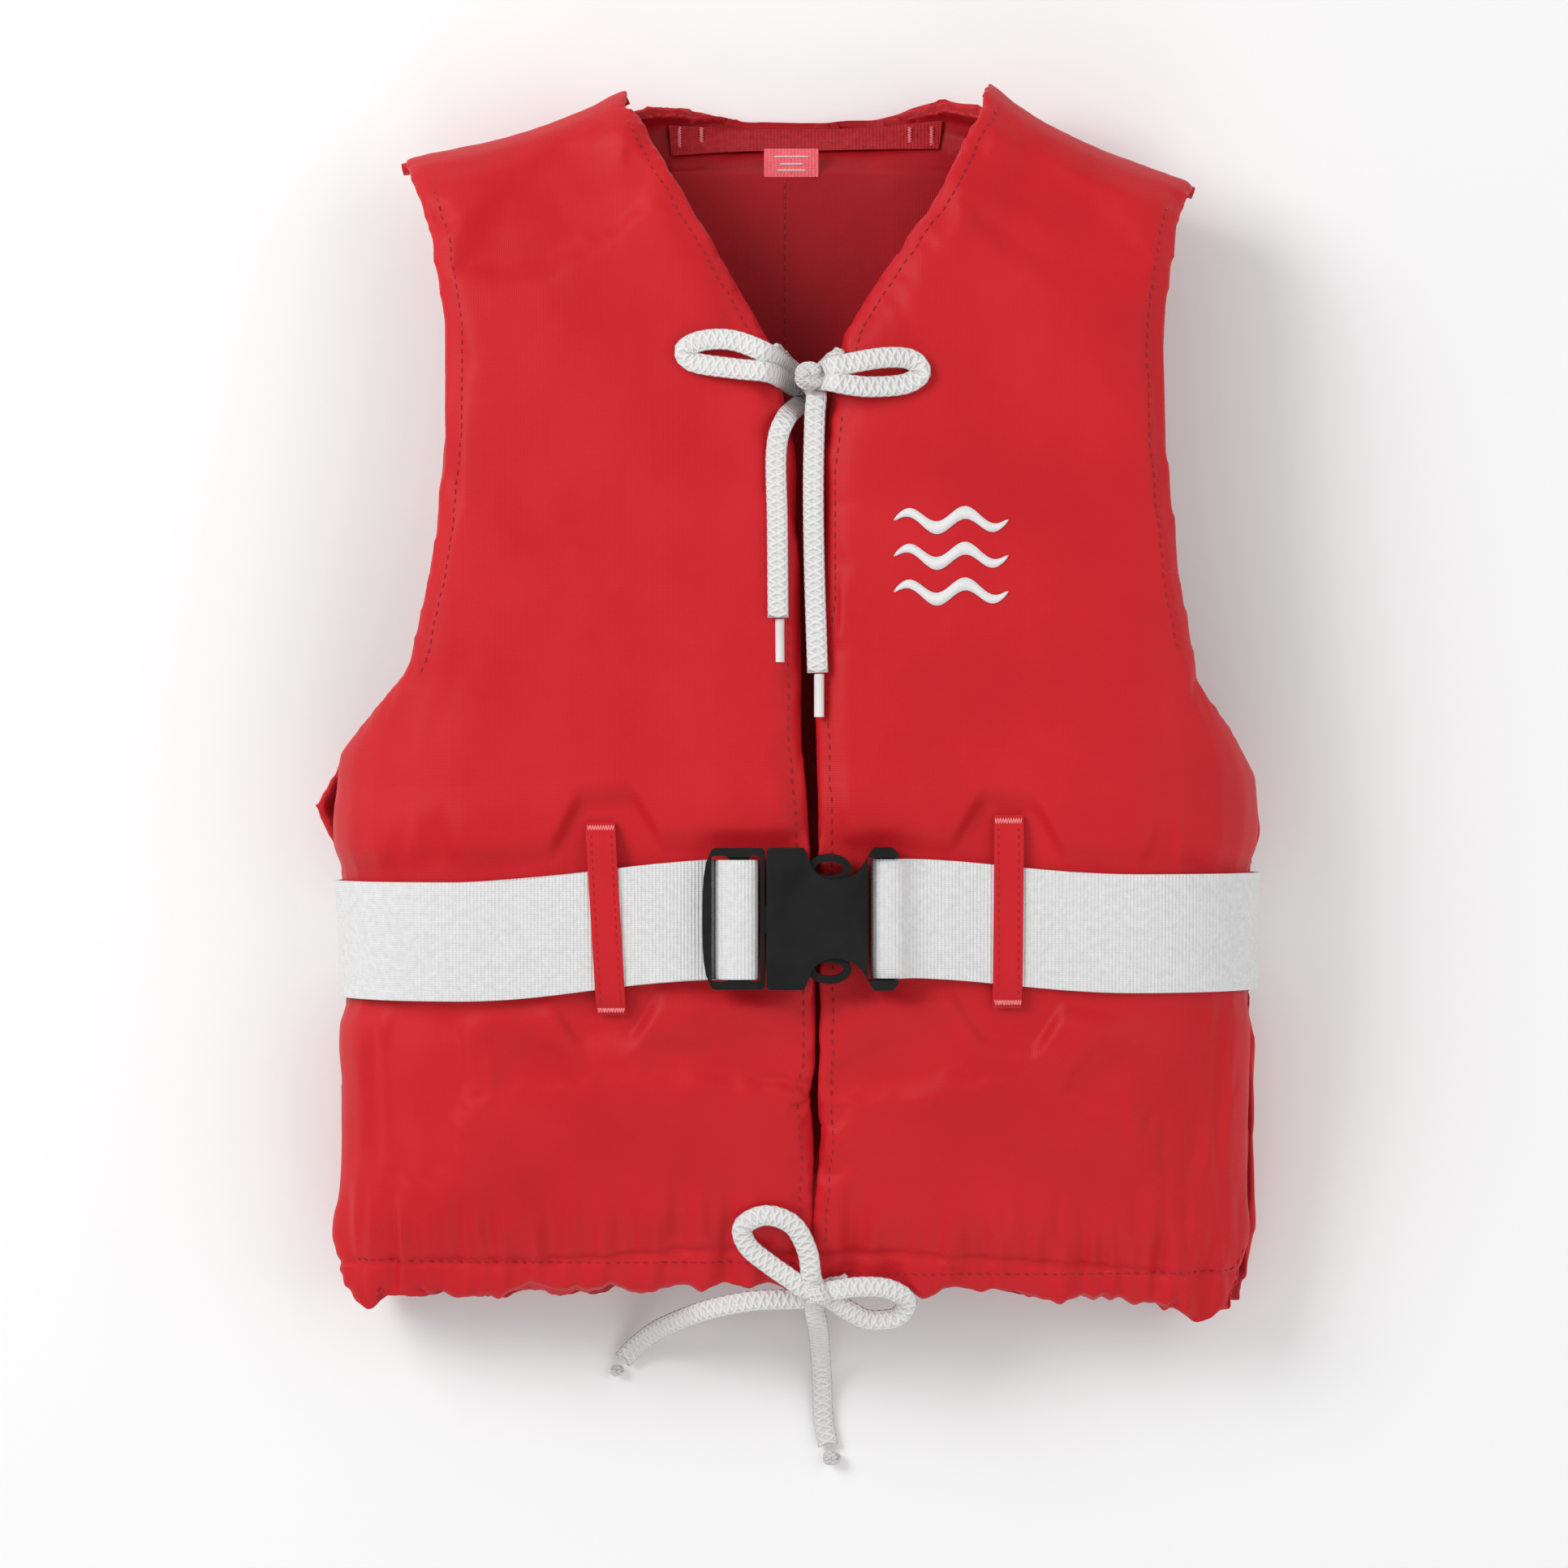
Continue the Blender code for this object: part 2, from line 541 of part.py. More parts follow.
# ---------------------------------------------------------------- buckle
def plate(name, outlines, z_low, z_high, mat=None, group=None, origin=None):
    """A flat outline with holes, extruded from z_low to z_high; each outline is a closed loop."""
    curve = bpy.data.curves.new(name, "CURVE")
    curve.dimensions = "2D"
    curve.fill_mode = "BOTH"
    curve.extrude = (z_high - z_low) / 2 * MM
    for points in outlines:
        spline = curve.splines.new("POLY")
        spline.points.add(len(points) - 1)
        for slot, (x, y) in zip(spline.points, points):
            slot.co = (x * MM, y * MM, 0, 1)
        spline.use_cyclic_u = True
    holder = bpy.data.objects.new(name + "_outline", curve)
    bpy.context.scene.collection.objects.link(holder)
    bpy.context.view_layer.update()
    mesh = bpy.data.meshes.new_from_object(holder.evaluated_get(bpy.context.evaluated_depsgraph_get()))
    bpy.data.objects.remove(holder)
    bm = bmesh.new()
    bm.from_mesh(mesh)
    bmesh.ops.remove_doubles(bm, verts=bm.verts, dist=0.00001)
    bmesh.ops.recalc_face_normals(bm, faces=bm.faces)
    bm.to_mesh(mesh)
    bm.free()
    item = add_part(name, mesh, mat, group)
    place = Vector((0, BUCKLE_Y, (z_low + z_high) / 2)) * MM
    if origin:
        pivot = Vector((origin[0], origin[1], 0)) * MM
        for v in mesh.vertices:
            v.co -= pivot
        place += pivot
    item.location = place
    return item


def box_cutter(name, low, high):
    """A cutter box between two corners, y measured from the buckle's middle."""
    centre = [(a + b) / 2 for a, b in zip(low, high)]
    bpy.ops.mesh.primitive_cube_add(size=1.0)
    cutter = bpy.context.object
    cutter.name = name
    for group in list(cutter.users_collection):
        group.objects.unlink(cutter)
    CUTTERS.objects.link(cutter)
    for v in cutter.data.vertices:
        v.co = Vector([c * (b - a) for c, a, b in zip(v.co, low, high)]) * MM
    cutter.location = Vector((centre[0], centre[1] + BUCKLE_Y, centre[2])) * MM
    cutter.hide_render = True
    cutter.display_type = "WIRE"
    return cutter


def cut(item, cutters):
    for cutter in cutters:
        mod = item.modifiers.new(cutter.name, "BOOLEAN")
        mod.operation = "DIFFERENCE"
        mod.solver = "EXACT"
        mod.object = cutter


def oval(cx, cy, half_x, half_y, count=20):
    return [(cx + half_x * math.cos(2 * math.pi * k / count),
    cy + half_y * math.sin(2 * math.pi * k / count))
            for k in range(count)]


def rounded_box(x0, x1, y0, y1, radius, count=4):
    out = []
    for cx, cy, start in ((x1 - radius, y1 - radius, 0), (x0 + radius, y1 - radius, 90),
                          (x0 + radius, y0 + radius, 180), (x1 - radius, y0 + radius, 270)):
        for k in range(count + 1):
            angle = math.radians(start + 90 * k / count)
            out.append((cx + radius * math.cos(angle), cy + radius * math.sin(angle)))
    return out


def mirrored(half):
    return half + [(x, -y) for x, y in reversed(half) if abs(y) > 0.01]


def buckle_male_frame():
    """The fixed half: a frame with a bar for the webbing and a short guide tongue."""
    low = BUCKLE_FLOOR + 4.6
    high = BUCKLE_FLOOR + 10.7
    bulge = [(p.x, p.y) for p in smooth_curve([(-30.5, 29.0, 0), (-33.6, 20, 0), (-34.4, 0, 0),
    (-33.6, -20, 0),
                                              (-30.5, -29.0, 0)], 11)]
    outer = [(-9.6, 29.6), (-28.8, 29.6)] + bulge + [(-28.8, -29.6), (-9.6, -29.6), (-8.3, -28.4),
    (-8.3, -6.0),
                                                     (5.0, -5.0), (6.0, -4.0), (6.0, 4.0), (5.0, 5.0),
                                                     (-8.3, 6.0), (-8.3, 28.4)]
    slots = [rounded_box(-30.8, -23.4, -26.3, 26.3, 1.5), rounded_box(-14.8, -10.2, -26.3, 26.3, 1.5)]
    frame = plate("buckle_male_frame", [outer] + slots, low, high, black_plastic())
    relief = box_cutter("bar_relief", (-23.6, -25.8, low + 4.0), (-14.6, 25.8, high + 2))
    cut(frame, [relief])
    bevel(frame, 0.4)


def bevel(item, width):
    mod = item.modifiers.new("Bevel", "BEVEL")
    mod.width = width * MM
    mod.segments = 1
    mod.limit_method = "ANGLE"
    mod.angle_limit = math.radians(50)


def buckle_female():
    """The half that pulls off: a hollow mouth, side windows and an end bar."""
    low = BUCKLE_FLOOR
    high = BUCKLE_FLOOR + BUCKLE_THICK
    mid = (low + high) / 2
    scoop = [(p.x, p.y) for p in smooth_curve([(9.2, 27.4, 0), (12.5, 19.6, 0), (19, 16.5, 0),
    (26, 17.4, 0),
                                              (31.5, 20.6, 0), (35.4, 27.0, 0)], 12)]
    half = [(-7.6, 28.4), (-6.4, 29.6), (8.0, 29.6)] + scoop + [(37.4, 29.8), (45.0, 29.8), (47.6, 26.8)]
    body = plate("buckle_female", [mirrored(half)], low, high, black_plastic())
    cutters = [
        box_cutter("mouth", (-9, -27.6, mid - 4.5), (9.6, 27.6, mid + 4.5)),
        box_cutter("window_upper", (9.5, 8.0, mid - 4.5), (33.0, 40, mid + 4.5)),
        box_cutter("window_lower", (9.5, -40, mid - 4.5), (33.0, -8.0, mid + 4.5)),
        box_cutter("webbing_slot", (34.9, -25.6, low - 2), (38.6, 25.6, high + 2)),
        box_cutter("bar_top_relief", (34.8, -25.6, low + 7.0), (49, 25.6, high + 2)),
        box_cutter("bar_floor_relief", (34.8, -25.6, low - 2), (49, 25.6, low + 3.0)),
        box_cutter("bar_end_relief", (46.2, -25.6, low - 1), (49, 25.6, high + 1)),
    ]
    cut(body, cutters)
    bevel(body, 0.5)


def buckle_prong(name, sign):
    """A sprung arm with an oval thumb ring that shows in the buckle's waist."""
    low = BUCKLE_FLOOR + 3.0
    high = BUCKLE_FLOOR + 10.0
    ring = oval(18.6, sign * 21.0, 9.3, 6.2, 24)
    knuckle = oval(PRONG_X, sign * PRONG_Y, 3.0, 3.0, 12)
    arm_outer = [(x, sign * y) for x, y in ((PRONG_X, 19.8), (4, 20.6), (10.4, 24.0))]
    arm_inner = [(x, sign * y) for x, y in ((9.6, 18.0), (4, 15.4), (PRONG_X, 14.2))]
    start = [p for p in ring if p[0] > 10.0]
    if sign > 0:
        start.sort(key=lambda p: -math.atan2(p[1] - 21.0, p[0] - 18.6))
    else:
        start.sort(key=lambda p: math.atan2(p[1] + 21.0, p[0] - 18.6))
    back = [p for p in knuckle if p[0] < PRONG_X - 0.5]
    back.sort(key=lambda p: sign * p[1])
    outline = arm_outer + start + arm_inner + back
    hole = oval(18.6, sign * 21.0, 6.0, 2.9)
    plate(name, [outline, hole], low, high, black_plastic(), origin=(PRONG_X, sign * PRONG_Y))


# ---------------------------------------------------------------- neck pieces
def neck_strap(surface):
    """The hang strap sewn along the inside of the back neck."""
    room = foam_room(surface, back_taper)
    slab("neck_strap", surface, STRAP_ACROSS, STRAP_ALONG,
         lambda s, r: CLOTH + LINING_CLEAR + room(s, r) + LINING + GAP, lambda s, r: STRAP_THICK,
         red_webbing())


def size_label():
    """A small cloth label that hangs from the strap and can be lifted."""
    top, bottom = 241.2, 228.8
    low = back_height(3, top) + PANEL_THICK + 0.6
    rows = [[Vector((x, y, low + 0.25)) for x in (-9.0, 14.8)] for y in (top, bottom)]
    ribbon("size_label", rows, 0.5, label_cloth())


# ---------------------------------------------------------------- cords
def cord(name, route, on_cover=True):
    """One strand as a plain tube through a smooth curve over its route points."""
    points = [(x, y, (front_height(x, y) if on_cover else 0.0) + z) for x, y, z in route]
    length = sum((Vector(b) - Vector(a)).length for a, b in zip(points, points[1:]))
    smooth = smooth_curve(points, max(4, round(length / (2.3 * CORD_D)) + 1))
    curve = bpy.data.curves.new(name, "CURVE")
    curve.dimensions = "3D"
    curve.bevel_depth = CORD_D / 2 * MM
    curve.bevel_resolution = 2
    curve.use_fill_caps = True
    spline = curve.splines.new("POLY")
    spline.points.add(len(smooth) - 1)
    for slot, p in zip(spline.points, smooth):
        slot.co = (*(p * MM), 1)
    item = bpy.data.objects.new(name, curve)
    PARTS.objects.link(item)
    curve.materials.append(white_cord())


def ball(name, centre, size, mat):
    """A rounded solid of the given full sizes."""
    mesh = bpy.data.meshes.new(name)
    bm = bmesh.new()
    bmesh.ops.create_uvsphere(bm, u_segments=16, v_segments=8, radius=0.5)
    for v in bm.verts:
        v.co = Vector([c * s * MM for c, s in zip(v.co, size)])
    bm.to_mesh(mesh)
    bm.free()
    mesh.shade_smooth()
    item = add_part(name, mesh, mat)
    item.location = Vector(centre) * MM


def aglet(name, x, y_top):
    """A tip crimped on a cord's end, lying along Y."""
    mesh = bpy.data.meshes.new(name)
    bm = bmesh.new()
    bmesh.ops.create_cone(bm, cap_ends=True, segments=12, radius1=AGLET_R * MM, radius2=AGLET_R * MM,
                          depth=AGLET_LENGTH * MM)
    bm.to_mesh(mesh)
    bm.free()
    item = add_part(name, mesh, clear_tip())
    middle = y_top - AGLET_LENGTH / 2
    item.location = Vector((x, middle, front_height(x, middle) + AGLET_LIFT)) * MM
    item.rotation_euler = (math.radians(90), 0, 0)


def neck_ties():
    cord("neck_cord_left_exit", NECK_EXIT_LEFT)
    cord("neck_cord_right_exit", NECK_EXIT_RIGHT)
    cord("neck_cord_left_loop", NECK_LOOP_LEFT)
    cord("neck_cord_right_loop", NECK_LOOP_RIGHT)
    cord("neck_cord_left_tail", NECK_TAIL_LEFT)
    cord("neck_cord_right_tail", NECK_TAIL_RIGHT)
    x, y = NECK_KNOT
    ball("neck_knot", (x, y, front_height(x, y) + KNOT_LIFT), KNOT_SIZE, white_cord())
    aglet("neck_aglet_left", -2.2, 33.4)
    aglet("neck_aglet_right", 14.4, 10.4)


def hem_ties():
    cord("hem_cord_left_exit", HEM_EXIT_LEFT)
    cord("hem_cord_right_exit", HEM_EXIT_RIGHT)
    cord("hem_cord_left_loop", HEM_LOOP_LEFT)
    cord("hem_cord_right_loop", HEM_LOOP_RIGHT)
    cord("hem_cord_left_tail", HEM_TAIL_LEFT, on_cover=False)
    cord("hem_cord_right_tail", HEM_TAIL_RIGHT, on_cover=False)
    x, y = HEM_KNOT
    ball("hem_knot", (x, y, front_height(x, y) + KNOT_LIFT), KNOT_SIZE, white_cord())
    ball("hem_end_knot_left", (*HEM_END_LEFT, 3.6), (6.2, 5.6, 6.4), white_cord())
    ball("hem_end_knot_right", (*HEM_END_RIGHT, 3.6), (8.4, 7.0, 6.6), white_cord())


# ---------------------------------------------------------------- the whole jacket
def build():
    global PARTS, CUTTERS
    clear_scene()
    PARTS = new_collection("life_jacket")
    CUTTERS = new_collection("cutters")
    front = front_height, front_inward
    back = back_height, back_inward
    left = patch(FRONT_LEFT_HEM, FRONT_LEFT_SHOULDER, FRONT_LEFT_INNER, FRONT_LEFT_OUTER, front_height)
    right = patch(FRONT_RIGHT_HEM, FRONT_RIGHT_SHOULDER, FRONT_RIGHT_INNER, FRONT_RIGHT_OUTER, front_height)
    rear = patch(BACK_HEM, BACK_TOP, BACK_LEFT, BACK_RIGHT, back_height)
    panel("front_right", (left, front_inward), FRONT_ACROSS, FRONT_ALONG, FRONT_ACROSS[1:-2], front_taper)
    panel("front_left", (right, front_inward), FRONT_ACROSS, FRONT_ALONG, FRONT_ACROSS[1:-2], front_taper)
    panel("back", (rear, back_inward), BACK_ACROSS, BACK_ALONG, BACK_ACROSS[3:-3], back_taper)
    hem_strip("hem_channel_front_right", FRONT_LEFT_HEM, FRONT_LEFT_HEM_EDGE, *front, FRONT_ACROSS)
    hem_strip("hem_channel_front_left", FRONT_RIGHT_HEM, FRONT_RIGHT_HEM_EDGE, *front, FRONT_ACROSS)
    hem_strip("hem_channel_back", BACK_HEM, BACK_HEM_EDGE, *back, BACK_ACROSS)
    belt()
    belt_right()
    belt_loop("belt_loop_front_right", -75.0, -51.6, -133.0, 4.6, front_height, 1, 6.0)
    belt_loop("belt_loop_front_left", 93.8, -48.5, -130.0, -0.6, front_height, 1, 3.6)
    belt_loop("belt_loop_back_right", -75.0, -66.5, -134.5, 0.0, back_height, -1, 3.3)
    belt_loop("belt_loop_back_left", 93.8, -66.5, -134.5, 0.0, back_height, -1, 3.3)
    buckle_male_frame()
    buckle_female()
    buckle_prong("buckle_prong_upper", 1)
    buckle_prong("buckle_prong_lower", -1)
    neck_strap((rear, back_inward))
    size_label()
    neck_ties()
    hem_ties()
    for item in [*PARTS.objects, *CUTTERS.objects]:
        item.location += Vector(TO_ORIGIN) * MM


build()
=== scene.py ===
"""Looks of the foam life jacket: padded nylon panels, webbing belt, buckle, tie cords and stitching."""
import math

import bmesh
import bpy
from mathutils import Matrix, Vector, noise
from mathutils.bvhtree import BVHTree


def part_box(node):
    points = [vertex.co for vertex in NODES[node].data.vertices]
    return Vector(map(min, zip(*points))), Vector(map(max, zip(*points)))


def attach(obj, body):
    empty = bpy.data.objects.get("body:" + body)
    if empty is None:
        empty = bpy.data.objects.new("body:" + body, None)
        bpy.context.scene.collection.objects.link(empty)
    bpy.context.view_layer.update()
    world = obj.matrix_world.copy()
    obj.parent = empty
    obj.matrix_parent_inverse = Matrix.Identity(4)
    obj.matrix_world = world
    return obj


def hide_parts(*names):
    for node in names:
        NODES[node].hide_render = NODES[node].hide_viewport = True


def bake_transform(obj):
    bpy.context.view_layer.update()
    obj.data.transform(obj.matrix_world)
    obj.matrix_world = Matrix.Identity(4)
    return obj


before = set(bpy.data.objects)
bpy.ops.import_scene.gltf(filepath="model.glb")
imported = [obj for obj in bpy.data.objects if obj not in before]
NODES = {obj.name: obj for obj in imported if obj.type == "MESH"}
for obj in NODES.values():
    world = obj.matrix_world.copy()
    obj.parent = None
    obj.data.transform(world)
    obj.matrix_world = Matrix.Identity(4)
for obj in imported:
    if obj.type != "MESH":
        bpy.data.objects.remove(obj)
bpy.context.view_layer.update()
MM = 0.001
SHIFT = Vector((-1.731, -0.95, 0.0)) * MM      # the frame's origin, off the cord routes' own
ROOT = "jacket"

# Cord routes, as in the CAD: x, y and height over the cover, in metres
NECK_KNOT = (0.0107, 0.1354)
NECK_LEFT = [(-0.0046, 0.1480, 0.0004), (0.0005, 0.1432, 0.0028), (0.0036, 0.1384, 0.0028)]
NECK_RIGHT = [(0.0230, 0.1465, 0.0004), (0.0206, 0.1416, 0.0028), (0.0178, 0.1382, 0.0028)]
NECK_LOOP_LEFT = [(0.0036, 0.1390, 0.0084), (-0.0058, 0.1436, 0.0094), (-0.0208, 0.1498, 0.0080),
                  (-0.0340, 0.1502, 0.0050), (-0.0420, 0.1464, 0.0034), (-0.0380, 0.1412, 0.0030),
                  (-0.0208, 0.1382, 0.0060), (-0.0060, 0.1364, 0.0086), (0.0036, 0.1340, 0.0084)]
NECK_LOOP_RIGHT = [(0.0178, 0.1380, 0.0084), (0.0270, 0.1400, 0.0092), (0.0420, 0.1426, 0.0070),
                   (0.0530, 0.1420, 0.0040), (0.0570, 0.1366, 0.0032), (0.0503, 0.1319, 0.0030),
                   (0.0360, 0.1304, 0.0060), (0.0260, 0.1312, 0.0084), (0.0178, 0.1330, 0.0084)]
NECK_TAIL_LEFT = [(0.0082, 0.1284, 0.0040), (0.0005, 0.1180, 0.0030), (-0.0035, 0.1044, 0.0025),
                  (-0.0031, 0.0733, 0.0024), (-0.0028, 0.0340, 0.0024)]
NECK_TAIL_RIGHT = [(0.0132, 0.1284, 0.0040), (0.0126, 0.1180, 0.0030), (0.0120, 0.0900, 0.0025),
                   (0.0124, 0.0561, 0.0024), (0.0138, 0.0110, 0.0024)]
HEM_KNOT = (0.0140, -0.2530)
HEM_LEFT = [(0.0020, -0.2456, 0.0004), (0.0050, -0.2484, 0.0026), (0.0074, -0.2504, 0.0026)]
HEM_RIGHT = [(0.0270, -0.2466, 0.0004), (0.0236, -0.2490, 0.0026), (0.0208, -0.2508, 0.0026)]
HEM_LOOP_LEFT = [(0.0114, -0.2456, 0.0084), (0.0096, -0.2340, 0.0074), (0.0034, -0.2226, 0.0044),
                 (-0.0080, -0.2184, 0.0030), (-0.0176, -0.2232, 0.0028), (-0.0156, -0.2320, 0.0030),
                 (-0.0055, -0.2406, 0.0066), (0.0026, -0.2462, 0.0084), (0.0070, -0.2496, 0.0084)]
HEM_LOOP_RIGHT = [(0.0210, -0.2512, 0.0084), (0.0320, -0.2498, 0.0082), (0.0440, -0.2508, 0.0060),
                  (0.0520, -0.2564, 0.0030), (0.0480, -0.2640, 0.0004), (0.0360, -0.2650, 0.0016),
                  (0.0280, -0.2610, 0.0054), (0.0210, -0.2562, 0.0084)]
# The hem tails leave the cover, so their heights are over the floor
HEM_TAIL_LEFT = [(0.0068, -0.2560, 0.0576), (-0.0127, -0.2568, 0.0580), (-0.0300, -0.2604, 0.0540),
                 (-0.0430, -0.2660, 0.0420), (-0.0555, -0.2736, 0.0240), (-0.0646, -0.2820, 0.0086),
                 (-0.0712, -0.2892, 0.0032)]
HEM_TAIL_RIGHT = [(0.0128, -0.2602, 0.0570), (0.0142, -0.2686, 0.0480), (0.0154, -0.2820, 0.0220),
                  (0.0164, -0.2980, 0.0064), (0.0170, -0.3153, 0.0026), (0.0192, -0.3272, 0.0026)]
CORD_WIDTH = 0.0088
CORD_THICK = 0.0022
KNOT_GROW = (1.5, 1.25, 1.0)


# ---------------------------------------------------------------- node helpers
def add_node(tree, kind, **settings):
    node = tree.nodes.new(kind)
    for key, value in settings.items():
        if key in node.inputs:
            node.inputs[key].default_value = value
        else:
            setattr(node, key, value)
    return node


def base_material(name, roughness, sheen=0.0, shine=0.2):
    """A Principled material with its constant values on the shader's own sockets."""
    mat = bpy.data.materials.new(name)
    mat.use_nodes = True
    tree = mat.node_tree
    shader = tree.nodes["Principled BSDF"]
    shader.inputs["Roughness"].default_value = roughness
    shader.inputs["Sheen Weight"].default_value = sheen
    shader.inputs["Sheen Roughness"].default_value = 0.4
    shader.inputs["Specular IOR Level"].default_value = shine
    return mat, tree, shader


def colour_noise(tree, shader, dark, light, scale, source, detail=4.0):
    """Slow variation between two colours; returns the noise node."""
    spots = add_node(tree, "ShaderNodeTexNoise", Scale=scale, Detail=detail)
    tree.links.new(source, spots.inputs["Vector"])
    ramp = add_node(tree, "ShaderNodeValToRGB")
    ramp.color_ramp.elements[0].position = 0.3
    ramp.color_ramp.elements[1].position = 0.7
    ramp.color_ramp.elements[0].color = (*dark, 1)
    ramp.color_ramp.elements[1].color = (*light, 1)
    tree.links.new(spots.outputs["Fac"], ramp.inputs["Fac"])
    tree.links.new(ramp.outputs["Color"], shader.inputs["Base Color"])
    return spots


def waves(tree, source, scale, direction, distortion=0.0):
    wave = add_node(tree, "ShaderNodeTexWave", wave_type="BANDS", bands_direction=direction, Scale=scale)
    wave.inputs["Distortion"].default_value = distortion
    tree.links.new(source, wave.inputs["Vector"])
    return wave.outputs["Fac"]


def maths(tree, operation, a, b):
    node = add_node(tree, "ShaderNodeMath", operation=operation)
    for slot, value in zip(node.inputs, (a, b)):
        if isinstance(value, (int, float)):
            slot.default_value = value
        else:
            tree.links.new(value, slot)
    return node.outputs[0]


def bump(tree, shader, height, strength, distance):
    node = add_node(tree, "ShaderNodeBump", Strength=strength, Distance=distance)
    tree.links.new(height, node.inputs["Height"])
    tree.links.new(node.outputs["Normal"], shader.inputs["Normal"])


def rough_from(tree, shader, source, low, high):
    span = add_node(tree, "ShaderNodeMapRange")
    span.inputs["To Min"].default_value = low
    span.inputs["To Max"].default_value = high
    tree.links.new(source, span.inputs["Value"])
    tree.links.new(span.outputs["Result"], shader.inputs["Roughness"])


# ---------------------------------------------------------------- materials
def nylon(name, dark, light, sheen):
    """Plain-woven coated nylon: a fine square weave, faint wrinkles and uneven gloss."""
    mat, tree, shader = base_material(name, 0.5, sheen=sheen)
    shader.inputs["Sheen Tint"].default_value = (1.0, 0.55, 0.58, 1)
    place = tree.nodes.new("ShaderNodeTexCoord").outputs["Object"]
    spots = colour_noise(tree, shader, dark, light, 18.0, place)
    weave = maths(tree, "ADD", waves(tree, place, 330.0, "X"), waves(tree, place, 330.0, "Y"))
    crease = add_node(tree, "ShaderNodeTexNoise", Scale=95.0, Detail=6.0)
    tree.links.new(place, crease.inputs["Vector"])
    height = maths(tree, "ADD", maths(tree, "MULTIPLY", weave, 0.14), crease.outputs["Fac"])
    bump(tree, shader, height, 0.35, 0.0007)
    rough_from(tree, shader, spots.outputs["Fac"], 0.42, 0.62)
    return mat


def webbing(name, dark, light):
    """Woven webbing: lengthwise ribs crossed by fine weft."""
    mat, tree, shader = base_material(name, 0.75, sheen=0.15)
    place = tree.nodes.new("ShaderNodeTexCoord").outputs["Object"]
    colour_noise(tree, shader, dark, light, 400.0, place)
    ribs = waves(tree, place, 210.0, "X", 0.6)
    weft = waves(tree, place, 330.0, "Y", 0.4)
    height = maths(tree, "ADD", ribs, maths(tree, "MULTIPLY", weft, 0.5))
    bump(tree, shader, height, 0.6, 0.0005)
    return mat


def braid(name):
    """A flat braid: two sets of slanting strands over the cord's own length and width."""
    mat, tree, shader = base_material(name, 0.8, sheen=0.2)
    uv = add_node(tree, "ShaderNodeUVMap", uv_map="braid")
    colour_noise(tree, shader, (0.70, 0.69, 0.68), (0.86, 0.86, 0.85), 5.0, uv.outputs["UV"])
    apart = tree.nodes.new("ShaderNodeSeparateXYZ")
    tree.links.new(uv.outputs["UV"], apart.inputs["Vector"])
    along, across = apart.outputs["X"], apart.outputs["Y"]
    one = maths(tree, "SINE", maths(tree, "MULTIPLY", maths(tree, "ADD", along, across), 6.2832), 0)
    two = maths(tree, "SINE", maths(tree, "MULTIPLY", maths(tree, "SUBTRACT", along, across), 6.2832), 0)
    bump(tree, shader, maths(tree, "MAXIMUM", one, two), 0.8, 0.0006)
    return mat


def moulded(name, dark, light):
    """Satin moulded plastic with a fine spark-eroded grain."""
    mat, tree, shader = base_material(name, 0.38, shine=0.22)
    place = tree.nodes.new("ShaderNodeTexCoord").outputs["Object"]
    spots = colour_noise(tree, shader, dark, light, 60.0, place)
    grain = add_node(tree, "ShaderNodeTexNoise", Scale=2200.0, Detail=2.0)
    tree.links.new(place, grain.inputs["Vector"])
    bump(tree, shader, grain.outputs["Fac"], 0.25, 0.0002)
    rough_from(tree, shader, spots.outputs["Fac"], 0.3, 0.46)
    return mat


def thread(name, dark, light):
    """Twisted sewing thread."""
    mat, tree, shader = base_material(name, 0.6, sheen=0.3)
    place = tree.nodes.new("ShaderNodeTexCoord").outputs["Object"]
    colour_noise(tree, shader, dark, light, 900.0, place)
    bump(tree, shader, waves(tree, place, 900.0, "DIAGONAL"), 0.5, 0.0002)
    return mat


RED = nylon("red_nylon_cover", (0.52, 0.008, 0.014), (0.59, 0.013, 0.020), 0.03)
# The lining's red nylon, made darker than the cover: painted shade for the jacket's shadowed inside.
LINING_RED_PAINTED_SHADE = nylon("red_nylon_lining_painted_shade", (0.34, 0.004, 0.010), (0.44, 0.008, 0.014), 0.04)
WHITE_WEB = webbing("white_webbing_look", (0.70, 0.70, 0.70), (0.80, 0.80, 0.80))
RED_WEB = webbing("red_tape_look", (0.36, 0.010, 0.016), (0.48, 0.020, 0.028))
BRAID = braid("white_braid_look")
BLACK = moulded("black_acetal_look", (0.005, 0.005, 0.005), (0.010, 0.010, 0.010))
TIP = moulded("cord_tip_look", (0.66, 0.66, 0.65), (0.78, 0.78, 0.77))
PINK_THREAD = thread("pink_bartack_thread", (0.80, 0.16, 0.18), (0.95, 0.30, 0.30))
RED_THREAD = thread("red_topstitch_thread", (0.26, 0.008, 0.014), (0.36, 0.015, 0.022))
LABEL = webbing("label_cloth_look", (0.90, 0.14, 0.17), (0.98, 0.18, 0.21))
PRINT = thread("white_print_look", (0.78, 0.76, 0.76), (0.86, 0.85, 0.85))


# ---------------------------------------------------------------- mesh helpers
def new_piece(name, mesh, mat, body=ROOT):
    item = bpy.data.objects.new(name, mesh)
    bpy.context.scene.collection.objects.link(item)
    item.data.materials.clear()
    item.data.materials.append(mat)
    item.data.shade_smooth()
    if body:
        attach(item, body)
    return item


def apply_modifiers(item):
    """The item's mesh as its modifiers leave it."""
    graph = bpy.context.evaluated_depsgraph_get()
    graph.update()
    mesh = bpy.data.meshes.new_from_object(item.evaluated_get(graph))
    item.modifiers.clear()
    item.data = mesh
    return item


def cad_bmesh(node):
    """A CAD node's mesh, welded."""
    bm = bmesh.new()
    bm.from_mesh(NODES[node].data)
    bmesh.ops.remove_doubles(bm, verts=bm.verts, dist=0.00002)
    return bm


